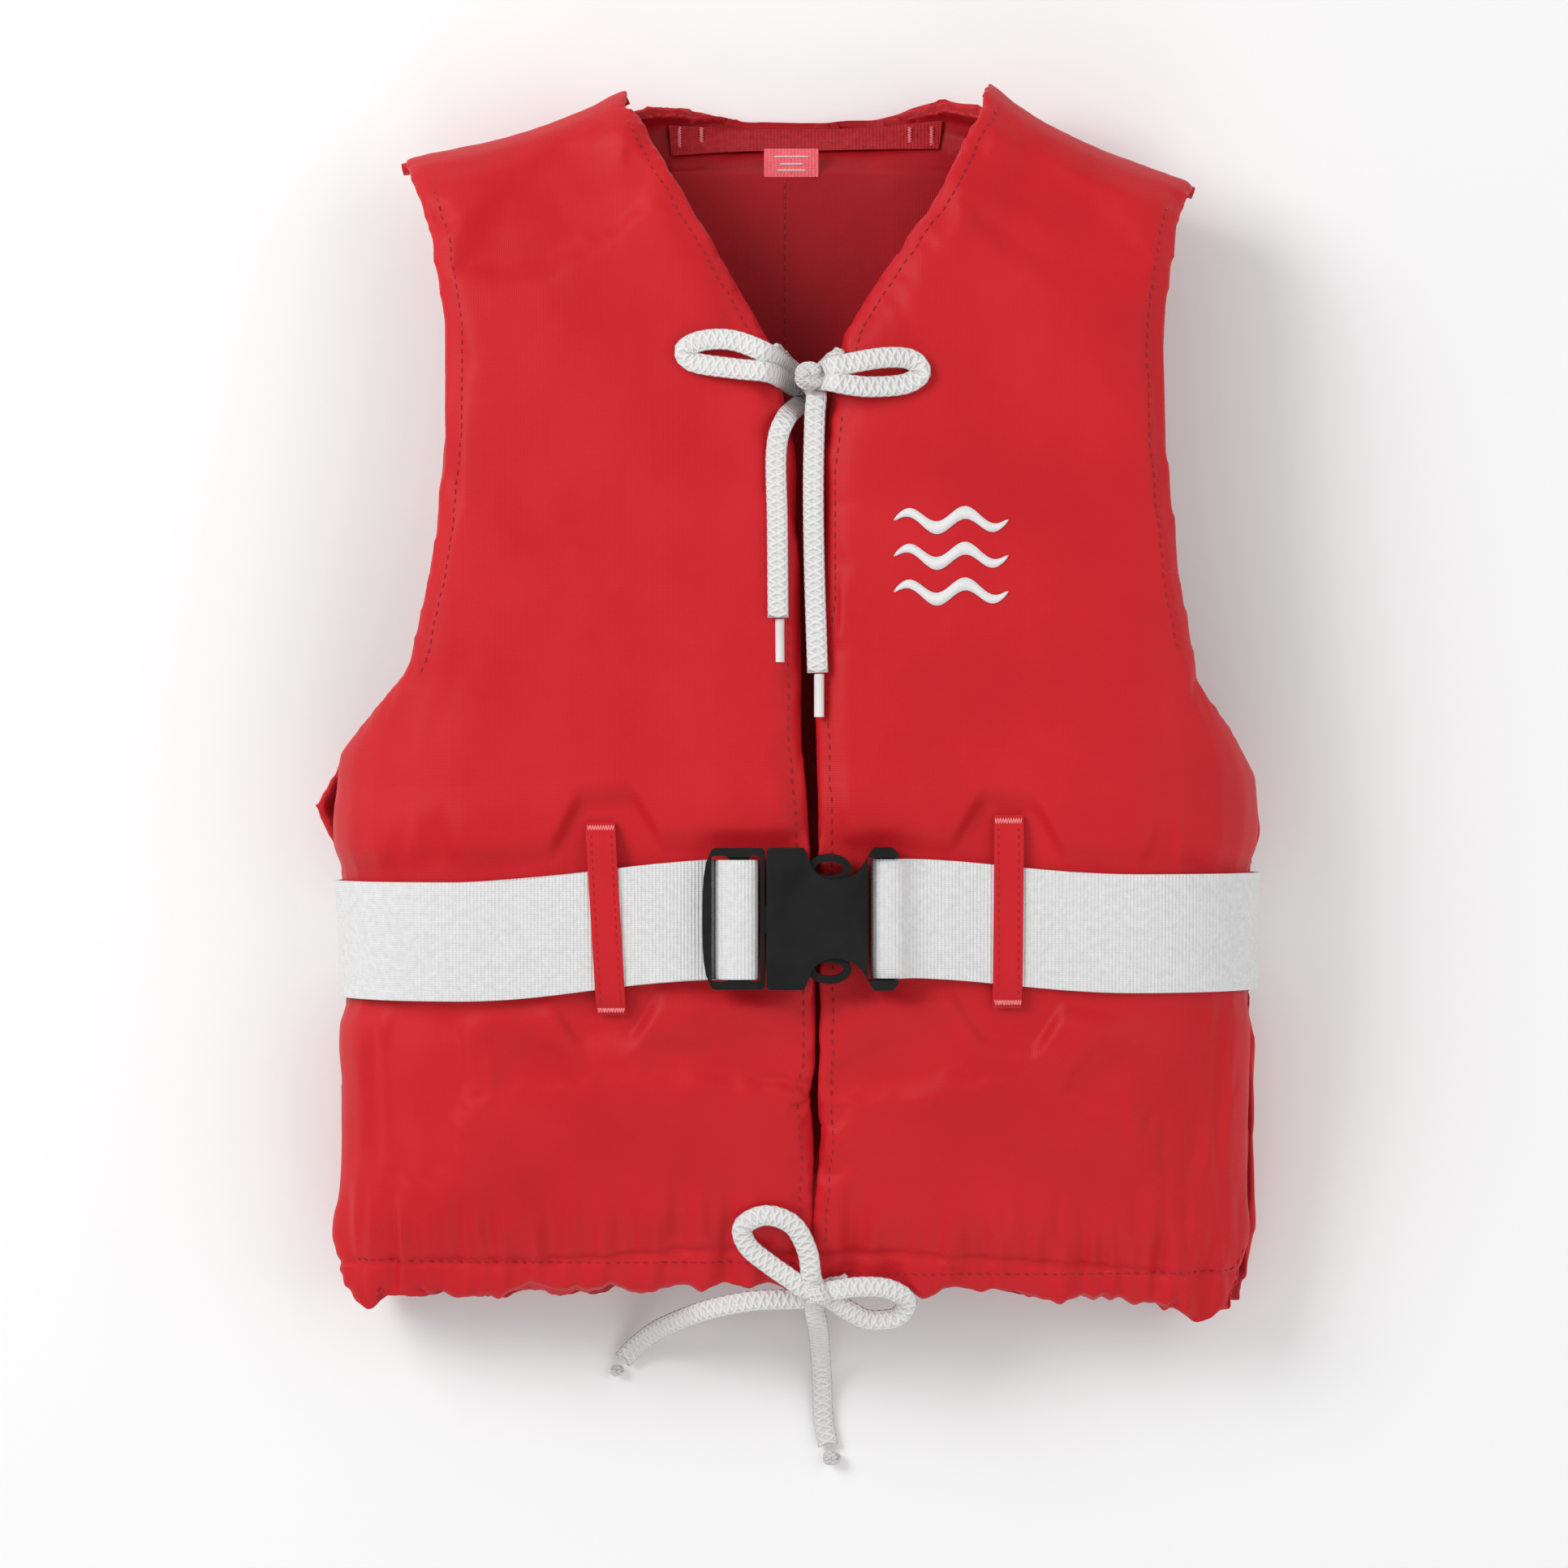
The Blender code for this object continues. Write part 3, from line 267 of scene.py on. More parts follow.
def tree_of(items):
    bm = bmesh.new()
    for item in items:
        bm.from_mesh(item.data)
    tree = BVHTree.FromBMesh(bm)
    bm.free()
    return tree


def ease(u):
    u = min(max(u, 0.0), 1.0)
    return u * u * (3 - 2 * u)


def smooth_line(points, gap):
    """Points about `gap` apart on a smooth curve through the given ones."""
    pts = [Vector(p) for p in points]
    ends = [pts[0] * 2 - pts[1]] + pts + [pts[-1] * 2 - pts[-2]]
    dense = []
    for a, b, c, d in zip(ends, ends[1:], ends[2:], ends[3:]):
        for k in range(16):
            u = k / 16
            dense.append(0.5 * (2 * b + (c - a) * u + (2 * a - 5 * b + 4 * c - d) * u * u
                                + (3 * b - a - 3 * c + d) * u ** 3))
    dense.append(pts[-1])
    out = [dense[0]]
    for p in dense[1:]:
        if (p - out[-1]).length >= gap:
            out.append(p)
    out[-1] = dense[-1]
    return out


# ---------------------------------------------------------------- padded panels
BUCKLE_LOW, BUCKLE_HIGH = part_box("buckle_female")
BELT_MIDDLE_Y = (BUCKLE_LOW[1] + BUCKLE_HIGH[1]) / 2
BACK_LOW, BACK_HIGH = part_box("back_outer_shell")
SEAM_Z = BACK_HIGH[2]
HEM_STITCH = [(-0.190, -0.243), (-0.091, -0.2395), (-0.034, -0.2355), (0.011, -0.2385), (0.0485, -0.2374),
              (0.1157, -0.2417), (0.1658, -0.2467), (0.199, -0.248)]
SHOULDER_RIGHT = [(-0.068, 0.2620), (-0.092, 0.2500), (-0.1266, 0.2386), (-0.1650, 0.2312)]
SHOULDER_LEFT = [(0.087, 0.2650), (0.1057, 0.2504), (0.137, 0.2347), (0.1765, 0.2210)]
BINDING = (0.0026, 0.0050)           # half the width and half the height of the shoulders' tape
VOXEL = 0.0028
VOXEL_LOSS = 0.0012
BELT_PRESS = 0.0006
STRAP_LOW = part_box("neck_strap")[0]
LOOP_X = [sum(corner[0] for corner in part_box(node)) / 2 for node in ("belt_loop_front_right", "belt_loop_front_left")]
PRESSURE = 4.0
CLOTH_FRAMES = 20
MOST_BILLOW = 0.0025


def core_direction(p):
    """The way out of the jacket at p: from its hollow core to p."""
    core = Vector((min(max(p.x, BACK_LOW[0] + 0.06), BACK_HIGH[0] - 0.06), min(p.y, BACK_HIGH[1] - 0.02), SEAM_Z))
    return (p - core).normalized()


def belt_middle(x):
    """The belt's own middle line, which drops a little towards the sides."""
    return BELT_MIDDLE_Y - 0.0085 * ease((abs(x) - 0.05) / 0.1)


def hem_line(x):
    """Where the hem's stitching crosses x."""
    for (x0, y0), (x1, y1) in zip(HEM_STITCH, HEM_STITCH[1:]):
        if x <= x1 or (x1, y1) == HEM_STITCH[-1]:
            share = min(max((x - x0) / (x1 - x0), 0.0), 1.0)
            return y0 + (y1 - y0) * share


def gather(x, y, z):
    """The short folds that the drawn hem throws, between -1 and 1."""
    ridges = noise.noise(Vector((x * 95, y * 9, 5.5 + z * 55)))
    fine = noise.noise(Vector((x * 210, y * 22, 2.5 + z * 70)))
    return 1.5 * ridges + 0.6 * fine


def cover_sway(p, front):
    """How far the cover puffs or sinks at p: soft folds, gathers over the hem and the belt's pinch."""
    low_body = ease((-0.11 - p.y) / 0.05) if front else 0.6
    slow = noise.noise(Vector((p.x * 15, p.y * 5.5, 3.1 + p.z * 6)))
    slant = noise.noise(Vector((p.x * 24 + p.y * 13, p.y * 7, 8.4)))
    small = noise.noise(Vector((p.x * 60, p.y * 46, 1.7 + p.z * 30)))
    sway = 0.0030 * slow * (0.5 + low_body) + 0.0026 * slant * (0.35 + low_body) + 0.0003 * small
    over_hem = p.y - hem_line(p.x)
    tight = 0.7 + 0.6 * ease((abs(p.x) - 0.10) / 0.06)
    fade = ease(1 - over_hem / 0.05) if over_hem > 0 else 1.0
    sway += 0.0034 * tight * fade * gather(p.x, p.y, p.z)
    sway -= 0.0016 * math.exp(-(over_hem / 0.0022) ** 2)
    sway += 0.0016 * math.exp(-((over_hem - 0.018) / 0.013) ** 2)
    away = abs(p.y - belt_middle(p.x))
    return sway + 0.0010 * ease(1 - abs(away - 0.048) / 0.018)


def belt_hold(p):
    """1 where the belt or one of its loops lies on the cover, easing to 0 beside them."""
    beside_loop = min(abs(p.x - loop_x) for loop_x in LOOP_X)
    reach = 0.027 + 0.020 * (1 - ease((beside_loop - 0.009) / 0.016))
    return 1 - ease((abs(p.y - belt_middle(p.x)) - reach) / 0.012)


def strap_hold(p):
    """1 where the hang strap lies on the back's lining, easing to 0 beside it."""
    return ease((p.y - STRAP_LOW[1] + 0.010) / 0.007)


def press(item, cloth, hold, depth, outside=True):
    """Presses a panel's skin a hair under the CAD cloth's face, as far as `hold` says."""
    tree = tree_of([NODES[cloth]])
    side = 1 if outside else -1
    normals = [v.normal.copy() for v in item.data.vertices]
    for v, n in zip(item.data.vertices, normals):
        weight = hold(v.co)
        if weight <= 0 or n.dot(core_direction(v.co)) * side < 0.3:
            continue
        hit = tree.ray_cast(v.co + n * 0.012, -n)[0]
        if hit is not None and (hit - v.co).length < 0.010:
            v.co = v.co.lerp(hit - n * depth, weight)


def fused(name, nodes, voxel):
    """One closed, evenly meshed stuffed form out of a panel's cover, foam and lining."""
    bm = bmesh.new()
    for node in nodes:
        bm.from_mesh(NODES[node].data)
    bmesh.ops.remove_doubles(bm, verts=bm.verts, dist=0.00002)
    bm.normal_update()
    for v in bm.verts:
        v.co += v.normal * VOXEL_LOSS
    mesh = bpy.data.meshes.new(name)
    bm.to_mesh(mesh)
    bm.free()
    item = bpy.data.objects.new(name, mesh)
    bpy.context.scene.collection.objects.link(item)
    remesh = item.modifiers.new("Remesh", "REMESH")
    remesh.mode = "VOXEL"
    remesh.voxel_size = voxel
    soft = item.modifiers.new("Smooth", "SMOOTH")
    soft.factor = 0.5
    soft.iterations = 9
    apply_modifiers(item)
    keep_outer_skin(item)
    return item


def keep_outer_skin(item):
    """Drops the small closed bubbles that are left between the layers."""
    bm = bmesh.new()
    bm.from_mesh(item.data)
    seen = set()
    islands = []
    for start in bm.verts:
        if start in seen:
            continue
        group = [start]
        seen.add(start)
        for v in group:
            for e in v.link_edges:
                other = e.other_vert(v)
                if other not in seen:
                    seen.add(other)
                    group.append(other)
        islands.append(group)
    islands.sort(key=len)
    loose = [v for group in islands[:-1] for v in group]
    bmesh.ops.delete(bm, geom=loose, context="VERTS")
    bm.to_mesh(item.data)
    bm.free()


def inflate(item):
    """Lets the cover billow as cloth under a little pressure, then keeps how far it moved within bounds."""
    rest = [v.co.copy() for v in item.data.vertices]
    scene = bpy.context.scene
    mod = item.modifiers.new("Cloth", "CLOTH")
    cloth = mod.settings
    cloth.quality = 4
    cloth.use_pressure = True
    cloth.uniform_pressure_force = PRESSURE
    cloth.tension_stiffness = 30
    cloth.compression_stiffness = 30
    cloth.shear_stiffness = 8
    cloth.bending_stiffness = 0.4
    cloth.shrink_min = -0.02
    cloth.effector_weights.gravity = 0.0
    mod.collision_settings.use_collision = False
    mod.collision_settings.use_self_collision = False
    mod.point_cache.frame_start = 1
    mod.point_cache.frame_end = CLOTH_FRAMES
    for step in range(1, CLOTH_FRAMES + 1):
        scene.frame_set(step)
        bpy.context.view_layer.update()
    apply_modifiers(item)
    scene.frame_set(1)
    for v, start in zip(item.data.vertices, rest):
        move = v.co - start
        if move.length > MOST_BILLOW:
            v.co = start + move * (MOST_BILLOW / move.length)


def padded_panel(name, nodes, front):
    """One stuffed panel with its drawn hem: rounded edges, puffed body, folds; its inside shows the lining, in the
    lining's red darkened as painted shade.
    """
    item = fused(name, nodes, VOXEL)
    inflate(item)
    sub = item.modifiers.new("Subdivision", "SUBSURF")
    sub.levels = sub.render_levels = 1
    apply_modifiers(item)
    data = item.data
    data.materials.clear()
    data.materials.append(RED)
    data.materials.append(LINING_RED_PAINTED_SHADE)
    normals = [v.normal.copy() for v in data.vertices]
    for v, n in zip(data.vertices, normals):
        facing = n.dot(core_direction(v.co))
        if facing > 0.2:
            v.co += n * cover_sway(v.co, front) * min(facing, 1.0)
        below = ease((hem_line(v.co.x) - v.co.y) / 0.008)
        v.co.y += 0.0026 * below * gather(v.co.x, 0.0, 0.0)
        v.co.z = max(v.co.z, 0.0)
    press(item, nodes[0], belt_hold, BELT_PRESS)
    if not front:
        press(item, nodes[2], strap_hold, BELT_PRESS, outside=False)
    for f in data.polygons:
        # Faces turned in towards the hollow take the lining's red, darkened as painted shade.
        f.material_index = 1 if f.normal.dot(core_direction(f.center)) < -0.2 else 0
    data.shade_smooth()
    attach(item, ROOT)
    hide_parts(*nodes)
    return item


def panel_nodes(side):
    return side + "_outer_shell", side + "_foam", side + "_lining", "hem_channel_" + side


FRONT_R = padded_panel("panel_front_right", panel_nodes("front_right"), True)
FRONT_L = padded_panel("panel_front_left", panel_nodes("front_left"), True)
BACK = padded_panel("panel_back", panel_nodes("back"), False)


# ---------------------------------------------------------------- where the front's face is
FRONT_FACE = tree_of([FRONT_L, FRONT_R])
INSIDE_FACE = tree_of([BACK])


def on_front(x, y, lift=0.0, tree=None):
    """The point of the front's face over (x, y), lifted along the face."""
    hit, normal, _, _ = (tree or FRONT_FACE).ray_cast(Vector((x, y, 0.3)), Vector((0, 0, -1)))
    if hit is None:
        return None
    return hit + normal * lift


def front_z(x, y):
    hit = on_front(x, y)
    nearby = [on_front(x + dx, y) for dx in (-0.006, 0.006)]
    found = [p.z for p in [hit] + nearby if p is not None and p.z > 0.03]
    return max(found) if found else 0.056


# ---------------------------------------------------------------- cords
def flat_cord(name, path, parts, body=ROOT):
    """A flat braid swept along a path: an oval section that lies with its broad side up."""
    bm = bmesh.new()
    uv = bm.loops.layers.uv.new("braid")
    rings = []
    runs = [0.0]
    sides = 12
    for a, b in zip(path, path[1:]):
        runs.append(runs[-1] + (b - a).length)
    up = Vector((0, 0, 1))
    for i, p in enumerate(path):
        ahead = (path[min(i + 1, len(path) - 1)] - path[max(i - 1, 0)]).normalized()
        side = ahead.cross(up)
        if side.length < 0.2:
            side = ahead.cross(Vector((0, -1, 0)))
        side.normalize()
        top = side.cross(ahead).normalized()
        ring = []
        broad = CORD_WIDTH * (0.55 + 0.45 * ease(runs[i] / 0.008))
        for k in range(sides):
            angle = 2 * math.pi * k / sides
            across = math.copysign(abs(math.cos(angle)) ** 0.7, math.cos(angle)) * broad / 2
            high = math.copysign(abs(math.sin(angle)) ** 0.8, math.sin(angle)) * CORD_THICK / 2
            ring.append(bm.verts.new(p + side * across + top * high))
        rings.append(ring)
    for i, (one, two) in enumerate(zip(rings, rings[1:])):
        for k in range(sides):
            face = bm.faces.new((one[k], one[(k + 1) % sides], two[(k + 1) % sides], two[k]))
            spots = ((runs[i], k), (runs[i], k + 1), (runs[i + 1], k + 1), (runs[i + 1], k))
            for loop, (run, turn) in zip(face.loops, spots):
                loop[uv].uv = (run / 0.0035, turn * 4 / sides)
    bm.faces.new(rings[0][::-1])
    bm.faces.new(rings[-1])
    bmesh.ops.recalc_face_normals(bm, faces=bm.faces)
    mesh = bpy.data.meshes.new(name)
    bm.to_mesh(mesh)
    bm.free()
    item = new_piece(name, mesh, BRAID, body)
    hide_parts(*parts)
    return item


def placed(route, on_cover=True):
    return [Vector((x, y, (front_z(x, y) if on_cover else 0.0) + z)) + SHIFT for x, y, z in route]


def through_knot(knot, lift):
    x, y = knot
    return Vector((x, y, front_z(x, y) + lift)) + SHIFT


def tied_path(start, loop, tail, knot):
    """One half of a tie, from where it leaves the cover through the knot, round its loop and down its tail."""
    route = start[:-1] + [through_knot(knot, 0.0042)] + loop + [through_knot(knot, 0.0078)] + tail
    return smooth_line(route, 0.0014)


def knot_wraps(name, knot, turn, body=ROOT):
    """Two crossing wraps of flat braid drawn over the bow's knot."""
    centre = through_knot(knot, 0.0062)
    bm = bmesh.new()
    uv = bm.loops.layers.uv.new("braid")
    for lean, length, width, size in ((turn, 0.0070, 0.0072, 0.0072), (turn + 1.25, 0.0066, 0.0060, 0.0066)):
        steps, sides = 28, 9
        rows = []
        for i in range(steps):
            angle = 2 * math.pi * i / steps
            row = []
            for k in range(sides):
                offset = (k / (sides - 1) - 0.5)
                swell = 1.0 - 0.9 * offset * offset
                local = Vector((width * offset, length * swell * math.cos(angle), size * swell * math.sin(angle)))
                spun = Vector((local.x * math.cos(lean) - local.y * math.sin(lean),
                               local.x * math.sin(lean) + local.y * math.cos(lean), local.z))
                row.append(bm.verts.new(centre + spun))
            rows.append(row)
        for i in range(steps):
            one, two = rows[i], rows[(i + 1) % steps]
            for k in range(sides - 1):
                face = bm.faces.new((one[k], one[k + 1], two[k + 1], two[k]))
                spots = ((i, k), (i, k + 1), (i + 1, k + 1), (i + 1, k))
                for loop, (a, b) in zip(face.loops, spots):
                    loop[uv].uv = (a * 0.36, b * 0.28)
    bmesh.ops.recalc_face_normals(bm, faces=bm.faces)
    mesh = bpy.data.meshes.new(name)
    bm.to_mesh(mesh)
    bm.free()
    item = new_piece(name, mesh, BRAID, body)
    thick = item.modifiers.new("Solidify", "SOLIDIFY")
    thick.thickness = 0.0016
    sub = item.modifiers.new("Subdivision", "SUBSURF")
    sub.levels = sub.render_levels = 1
    return item


def end_knot(name, node, grow=(1.0, 1.0, 1.0), body=ROOT):
    """A small overhand knot, where its CAD ball lies."""
    low, high = (Vector(c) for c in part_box(node))
    centre = (low + high) / 2
    size = Vector([half * more for half, more in zip((high - low) / 2, grow)])
    bm = bmesh.new()
    bmesh.ops.create_uvsphere(bm, u_segments=36, v_segments=20, radius=1.0)
    uv = bm.loops.layers.uv.new("braid")
    for v in bm.verts:
        d = v.co.normalized()
        around = math.atan2(d.y, d.x)
        groove = 1.0 - 0.26 * abs(math.sin(around * 1.5 + d.z * 2.4)) ** 6 - 0.20 * abs(math.sin(d.z * 3 + around)) ** 8
        v.co = centre + Vector((d.x * size.x, d.y * size.y, d.z * size.z)) * groove
    for f in bm.faces:
        for loop in f.loops:
            d = (loop.vert.co - centre)
            loop[uv].uv = (d.x / 0.003, d.y / 0.002)
    mesh = bpy.data.meshes.new(name)
    bm.to_mesh(mesh)
    bm.free()
    item = new_piece(name, mesh, BRAID, body)
    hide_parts(node)
    return item


def neck_tie():
    knot = end_knot("neck_bow_knot", "neck_knot", KNOT_GROW)
    wraps = knot_wraps("neck_bow_wraps", NECK_KNOT, 0.35)
    for tip in ("neck_aglet_left", "neck_aglet_right"):
        NODES[tip].data.materials.clear()
        NODES[tip].data.materials.append(TIP)
    left = tied_path(placed(NECK_LEFT), placed(NECK_LOOP_LEFT), placed(NECK_TAIL_LEFT), NECK_KNOT)
    right = tied_path(placed(NECK_RIGHT), placed(NECK_LOOP_RIGHT), placed(NECK_TAIL_RIGHT), NECK_KNOT)
    flat_cord("neck_tie_left", left, ["neck_cord_left_exit", "neck_cord_left_loop", "neck_cord_left_tail"])
    flat_cord("neck_tie_right", right, ["neck_cord_right_exit", "neck_cord_right_loop", "neck_cord_right_tail"])


def hem_tie():
    knot = end_knot("hem_bow_knot", "hem_knot", KNOT_GROW)
    wraps = knot_wraps("hem_bow_wraps", HEM_KNOT, 1.1)
    ends = [end_knot("hem_tail_knot_left", "hem_end_knot_left"), end_knot("hem_tail_knot_right", "hem_end_knot_right")]
    left = tied_path(placed(HEM_LEFT), placed(HEM_LOOP_LEFT), placed(HEM_TAIL_LEFT, False), HEM_KNOT)
    right = tied_path(placed(HEM_RIGHT), placed(HEM_LOOP_RIGHT), placed(HEM_TAIL_RIGHT, False), HEM_KNOT)
    flat_cord("hem_tie_left", left, ["hem_cord_left_exit", "hem_cord_left_loop", "hem_cord_left_tail"])
    flat_cord("hem_tie_right", right, ["hem_cord_right_exit", "hem_cord_right_loop", "hem_cord_right_tail"])


neck_tie()
hem_tie()


# ---------------------------------------------------------------- belt, loops, strap and label
def strap_copy(name, node, mat, levels=1, body=ROOT):
    """A CAD strap with softened edges."""
    bm = cad_bmesh(node)
    bmesh.ops.join_triangles(bm, faces=bm.faces, angle_face_threshold=0.7, angle_shape_threshold=1.4)
    mesh = bpy.data.meshes.new(name)
    bm.to_mesh(mesh)
    bm.free()
    item = new_piece(name, mesh, mat, body)
    mod = item.modifiers.new("Bevel", "BEVEL")
    mod.width = 0.00035
    mod.segments = 2
    mod.limit_method = "ANGLE"
    mod.angle_limit = math.radians(60)
    sub = item.modifiers.new("Subdivision", "SUBSURF")
    sub.levels = sub.render_levels = levels
    apply_modifiers(item)
    item.data.shade_smooth()
    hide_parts(node)
    return item


strap_copy("belt_main", "belt_webbing", WHITE_WEB, 2)
BELT_RIGHT = strap_copy("belt_pull_side", "belt_front_right", WHITE_WEB, 2, body=None)
LOOPS = {node: strap_copy(node + "_sewn", node, RED, 2)
         for node in ("belt_loop_front_right", "belt_loop_front_left", "belt_loop_back_right", "belt_loop_back_left")}
STRAP = strap_copy("neck_hang_strap", "neck_strap", RED_WEB, 2)
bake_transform(BELT_RIGHT)


def dashes(name, points, mat, length=0.0026, thick=0.0006, gap=0.0010, body=ROOT):
    """A row of stitches: short rounded dashes along a line of points."""
    line = smooth_line(points, 0.0004)
    bm = bmesh.new()
    i = 0
    while i < len(line) - 1:
        j = i
        while j < len(line) - 1 and (line[j] - line[i]).length < length:
            j += 1
        a, b = line[i], line[j]
        ahead = b - a
        if ahead.length > length * 0.6:
            made = bmesh.ops.create_icosphere(bm, subdivisions=1, radius=1.0)["verts"]
            turn = Vector((1, 0, 0)).rotation_difference(ahead.normalized())
            for v in made:
                local = Vector((v.co.x * ahead.length / 2, v.co.y * thick / 2, v.co.z * thick / 2))
                local.rotate(turn)
                v.co = (a + b) / 2 + local
        k = j
        while k < len(line) - 1 and (line[k] - line[j]).length < gap:
            k += 1
        i = max(k, i + 1)
    mesh = bpy.data.meshes.new(name)
    bm.to_mesh(mesh)
    bm.free()
    return new_piece(name, mesh, mat, body)


def bar_tack(name, centre, along, across, normal, mat, length, width, body=ROOT):
    """A dense zigzag bar of thread, `length` along and `width` across."""
    bm = bmesh.new()
    count = int(length / 0.00055)
    for k in range(count):
        mid = centre + along * ((k + 0.5) / count - 0.5) * length
        lean = along * 0.00025 * (1 if k % 2 else -1)
        made = bmesh.ops.create_icosphere(bm, subdivisions=1, radius=1.0)["verts"]
        for v in made:
            d = v.co.copy()
            v.co = mid + across * d.x * width / 2 + lean * d.x + along * d.y * 0.00036 + normal * d.z * 0.00045
    mesh = bpy.data.meshes.new(name)
    bm.to_mesh(mesh)
    bm.free()
    return new_piece(name, mesh, mat, body)


def loop_stitching():
    """Bar tacks at each belt loop's ends and two rows of stitches along it."""
    for node, item in LOOPS.items():
        low, high = (Vector(c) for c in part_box(node))
        up = 1 if low.z > 0.05 else -1
        tree = tree_of([item])
        middle = (low.x + high.x) / 2
        lean = 0.0045 if node == "belt_loop_front_right" else 0.0
        for tag, share in (("top", 0.965), ("bottom", 0.035)):
            y = low.y + (high.y - low.y) * share
            x = middle - lean * (share - 0.5)
            hit, normal, _, _ = tree.ray_cast(Vector((x, y, 0.3 * up)), Vector((0, 0, -up)))
            if hit is not None:
                bar_tack(f"{node}_tack_{tag}", hit + normal * 0.0002, Vector((1, 0, 0)), Vector((0, 1, 0)),
                         Vector((0, 0, up)), PINK_THREAD, 0.0112, 0.0030)
        for tag, side in (("a", -0.0042), ("b", 0.0042)):
            points = []
            for k in range(24):
                share = 0.07 + 0.86 * k / 23
                y = low.y + (high.y - low.y) * share
                hit, normal, _, _ = tree.ray_cast(Vector((middle - lean * (share - 0.5) + side, y, 0.3 * up)),
                                                  Vector((0, 0, -up)))
                if hit is not None:
                    points.append(hit + normal * 0.0001)
            if len(points) > 4:
                dashes(f"{node}_stitch_{tag}", points, RED_THREAD, length=0.0022, thick=0.00045)


loop_stitching()


def seam_binding(name, corners):
    """The folded tape that closes a shoulder seam between the front and the back."""
    line = smooth_line([Vector((x, y - 0.0015, SEAM_Z)) + SHIFT for x, y in corners], 0.003)
    bm = bmesh.new()
    rings = []
    sides = 14
    for i, p in enumerate(line):
        ahead = (line[min(i + 1, len(line) - 1)] - line[max(i - 1, 0)]).normalized()
        side = ahead.cross(Vector((0, 0, 1))).normalized()
        pucker = 1 + 0.10 * noise.noise(p * 160)
        ring = []
        for k in range(sides):
            angle = 2 * math.pi * k / sides
            offset = side * math.cos(angle) * BINDING[0] + Vector((0, 0, math.sin(angle) * BINDING[1]))
            ring.append(bm.verts.new(p + offset * pucker))
        rings.append(ring)
    for one, two in zip(rings, rings[1:]):
        for k in range(sides):
            bm.faces.new((one[k], one[(k + 1) % sides], two[(k + 1) % sides], two[k]))
    bm.faces.new(rings[0][::-1])
    bm.faces.new(rings[-1])
    bmesh.ops.recalc_face_normals(bm, faces=bm.faces)
    mesh = bpy.data.meshes.new(name)
    bm.to_mesh(mesh)
    bm.free()
    new_piece(name, mesh, RED)


seam_binding("shoulder_binding_right", SHOULDER_RIGHT)
seam_binding("shoulder_binding_left", SHOULDER_LEFT)


def outline_line(item, side, inset, y0, y1, count):
    """A line that keeps `inset` inside a panel's left (-1) or right (+1) edge between two heights."""
    tree = tree_of([item])
    low_x = min(v.co.x for v in item.data.vertices)
    high_x = max(v.co.x for v in item.data.vertices)
    found = []
    for k in range(count):
        y = y0 + (y1 - y0) * k / (count - 1)
        inner, outer = (low_x - 0.002, high_x + 0.002)
        steps = 260
        edge = None
        for i in range(steps):
            x = inner + (outer - inner) * i / steps if side < 0 else outer - (outer - inner) * i / steps
            hit = tree.ray_cast(Vector((x, y, 0.3)), Vector((0, 0, -1)))[0]
            if hit is not None and hit.z > 0.045:
                edge = x
                break
        if edge is not None:
            p = on_front(edge - side * inset, y, 0.0002, tree)
            if p is not None:
                found.append(p)
    return found


def topstitching():
    """Stitch rows along the front opening, the V, the armholes and the hem."""
    rows = {
        "opening_right": outline_line(FRONT_R, 1, 0.005, -0.232, 0.118, 60),
        "opening_left": outline_line(FRONT_L, -1, 0.005, -0.232, 0.118, 60),
        "v_right": outline_line(FRONT_R, 1, 0.006, 0.140, 0.246, 30),
        "v_left": outline_line(FRONT_L, -1, 0.006, 0.140, 0.250, 30),
        "armhole_right": outline_line(FRONT_R, -1, 0.007, 0.010, 0.215, 40),
        "armhole_left": outline_line(FRONT_L, 1, 0.007, 0.020, 0.208, 40),
    }
    for name, points in rows.items():
        if len(points) > 6:
            dashes("topstitch_" + name, points, RED_THREAD)
    for tag, node, item in (("right", "front_right_outer_shell", FRONT_R), ("left", "front_left_outer_shell", FRONT_L)):
        low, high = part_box(node)
        tree = tree_of([item])
        points = []
        for k in range(60):
            x = low[0] + 0.008 + (high[0] - low[0] - 0.012) * k / 59
            for step in range(30):
                p = on_front(x, low[1] + 0.001 * step, 0.0002, tree)
                if p is not None and p.z > 0.04:
                    points.append(on_front(x, low[1] + 0.001 * step + 0.003, 0.0002, tree))
                    break
        points = [p for p in points if p is not None]
        if len(points) > 6:
            dashes("hem_stitch_" + tag, points, RED_THREAD)


topstitching()


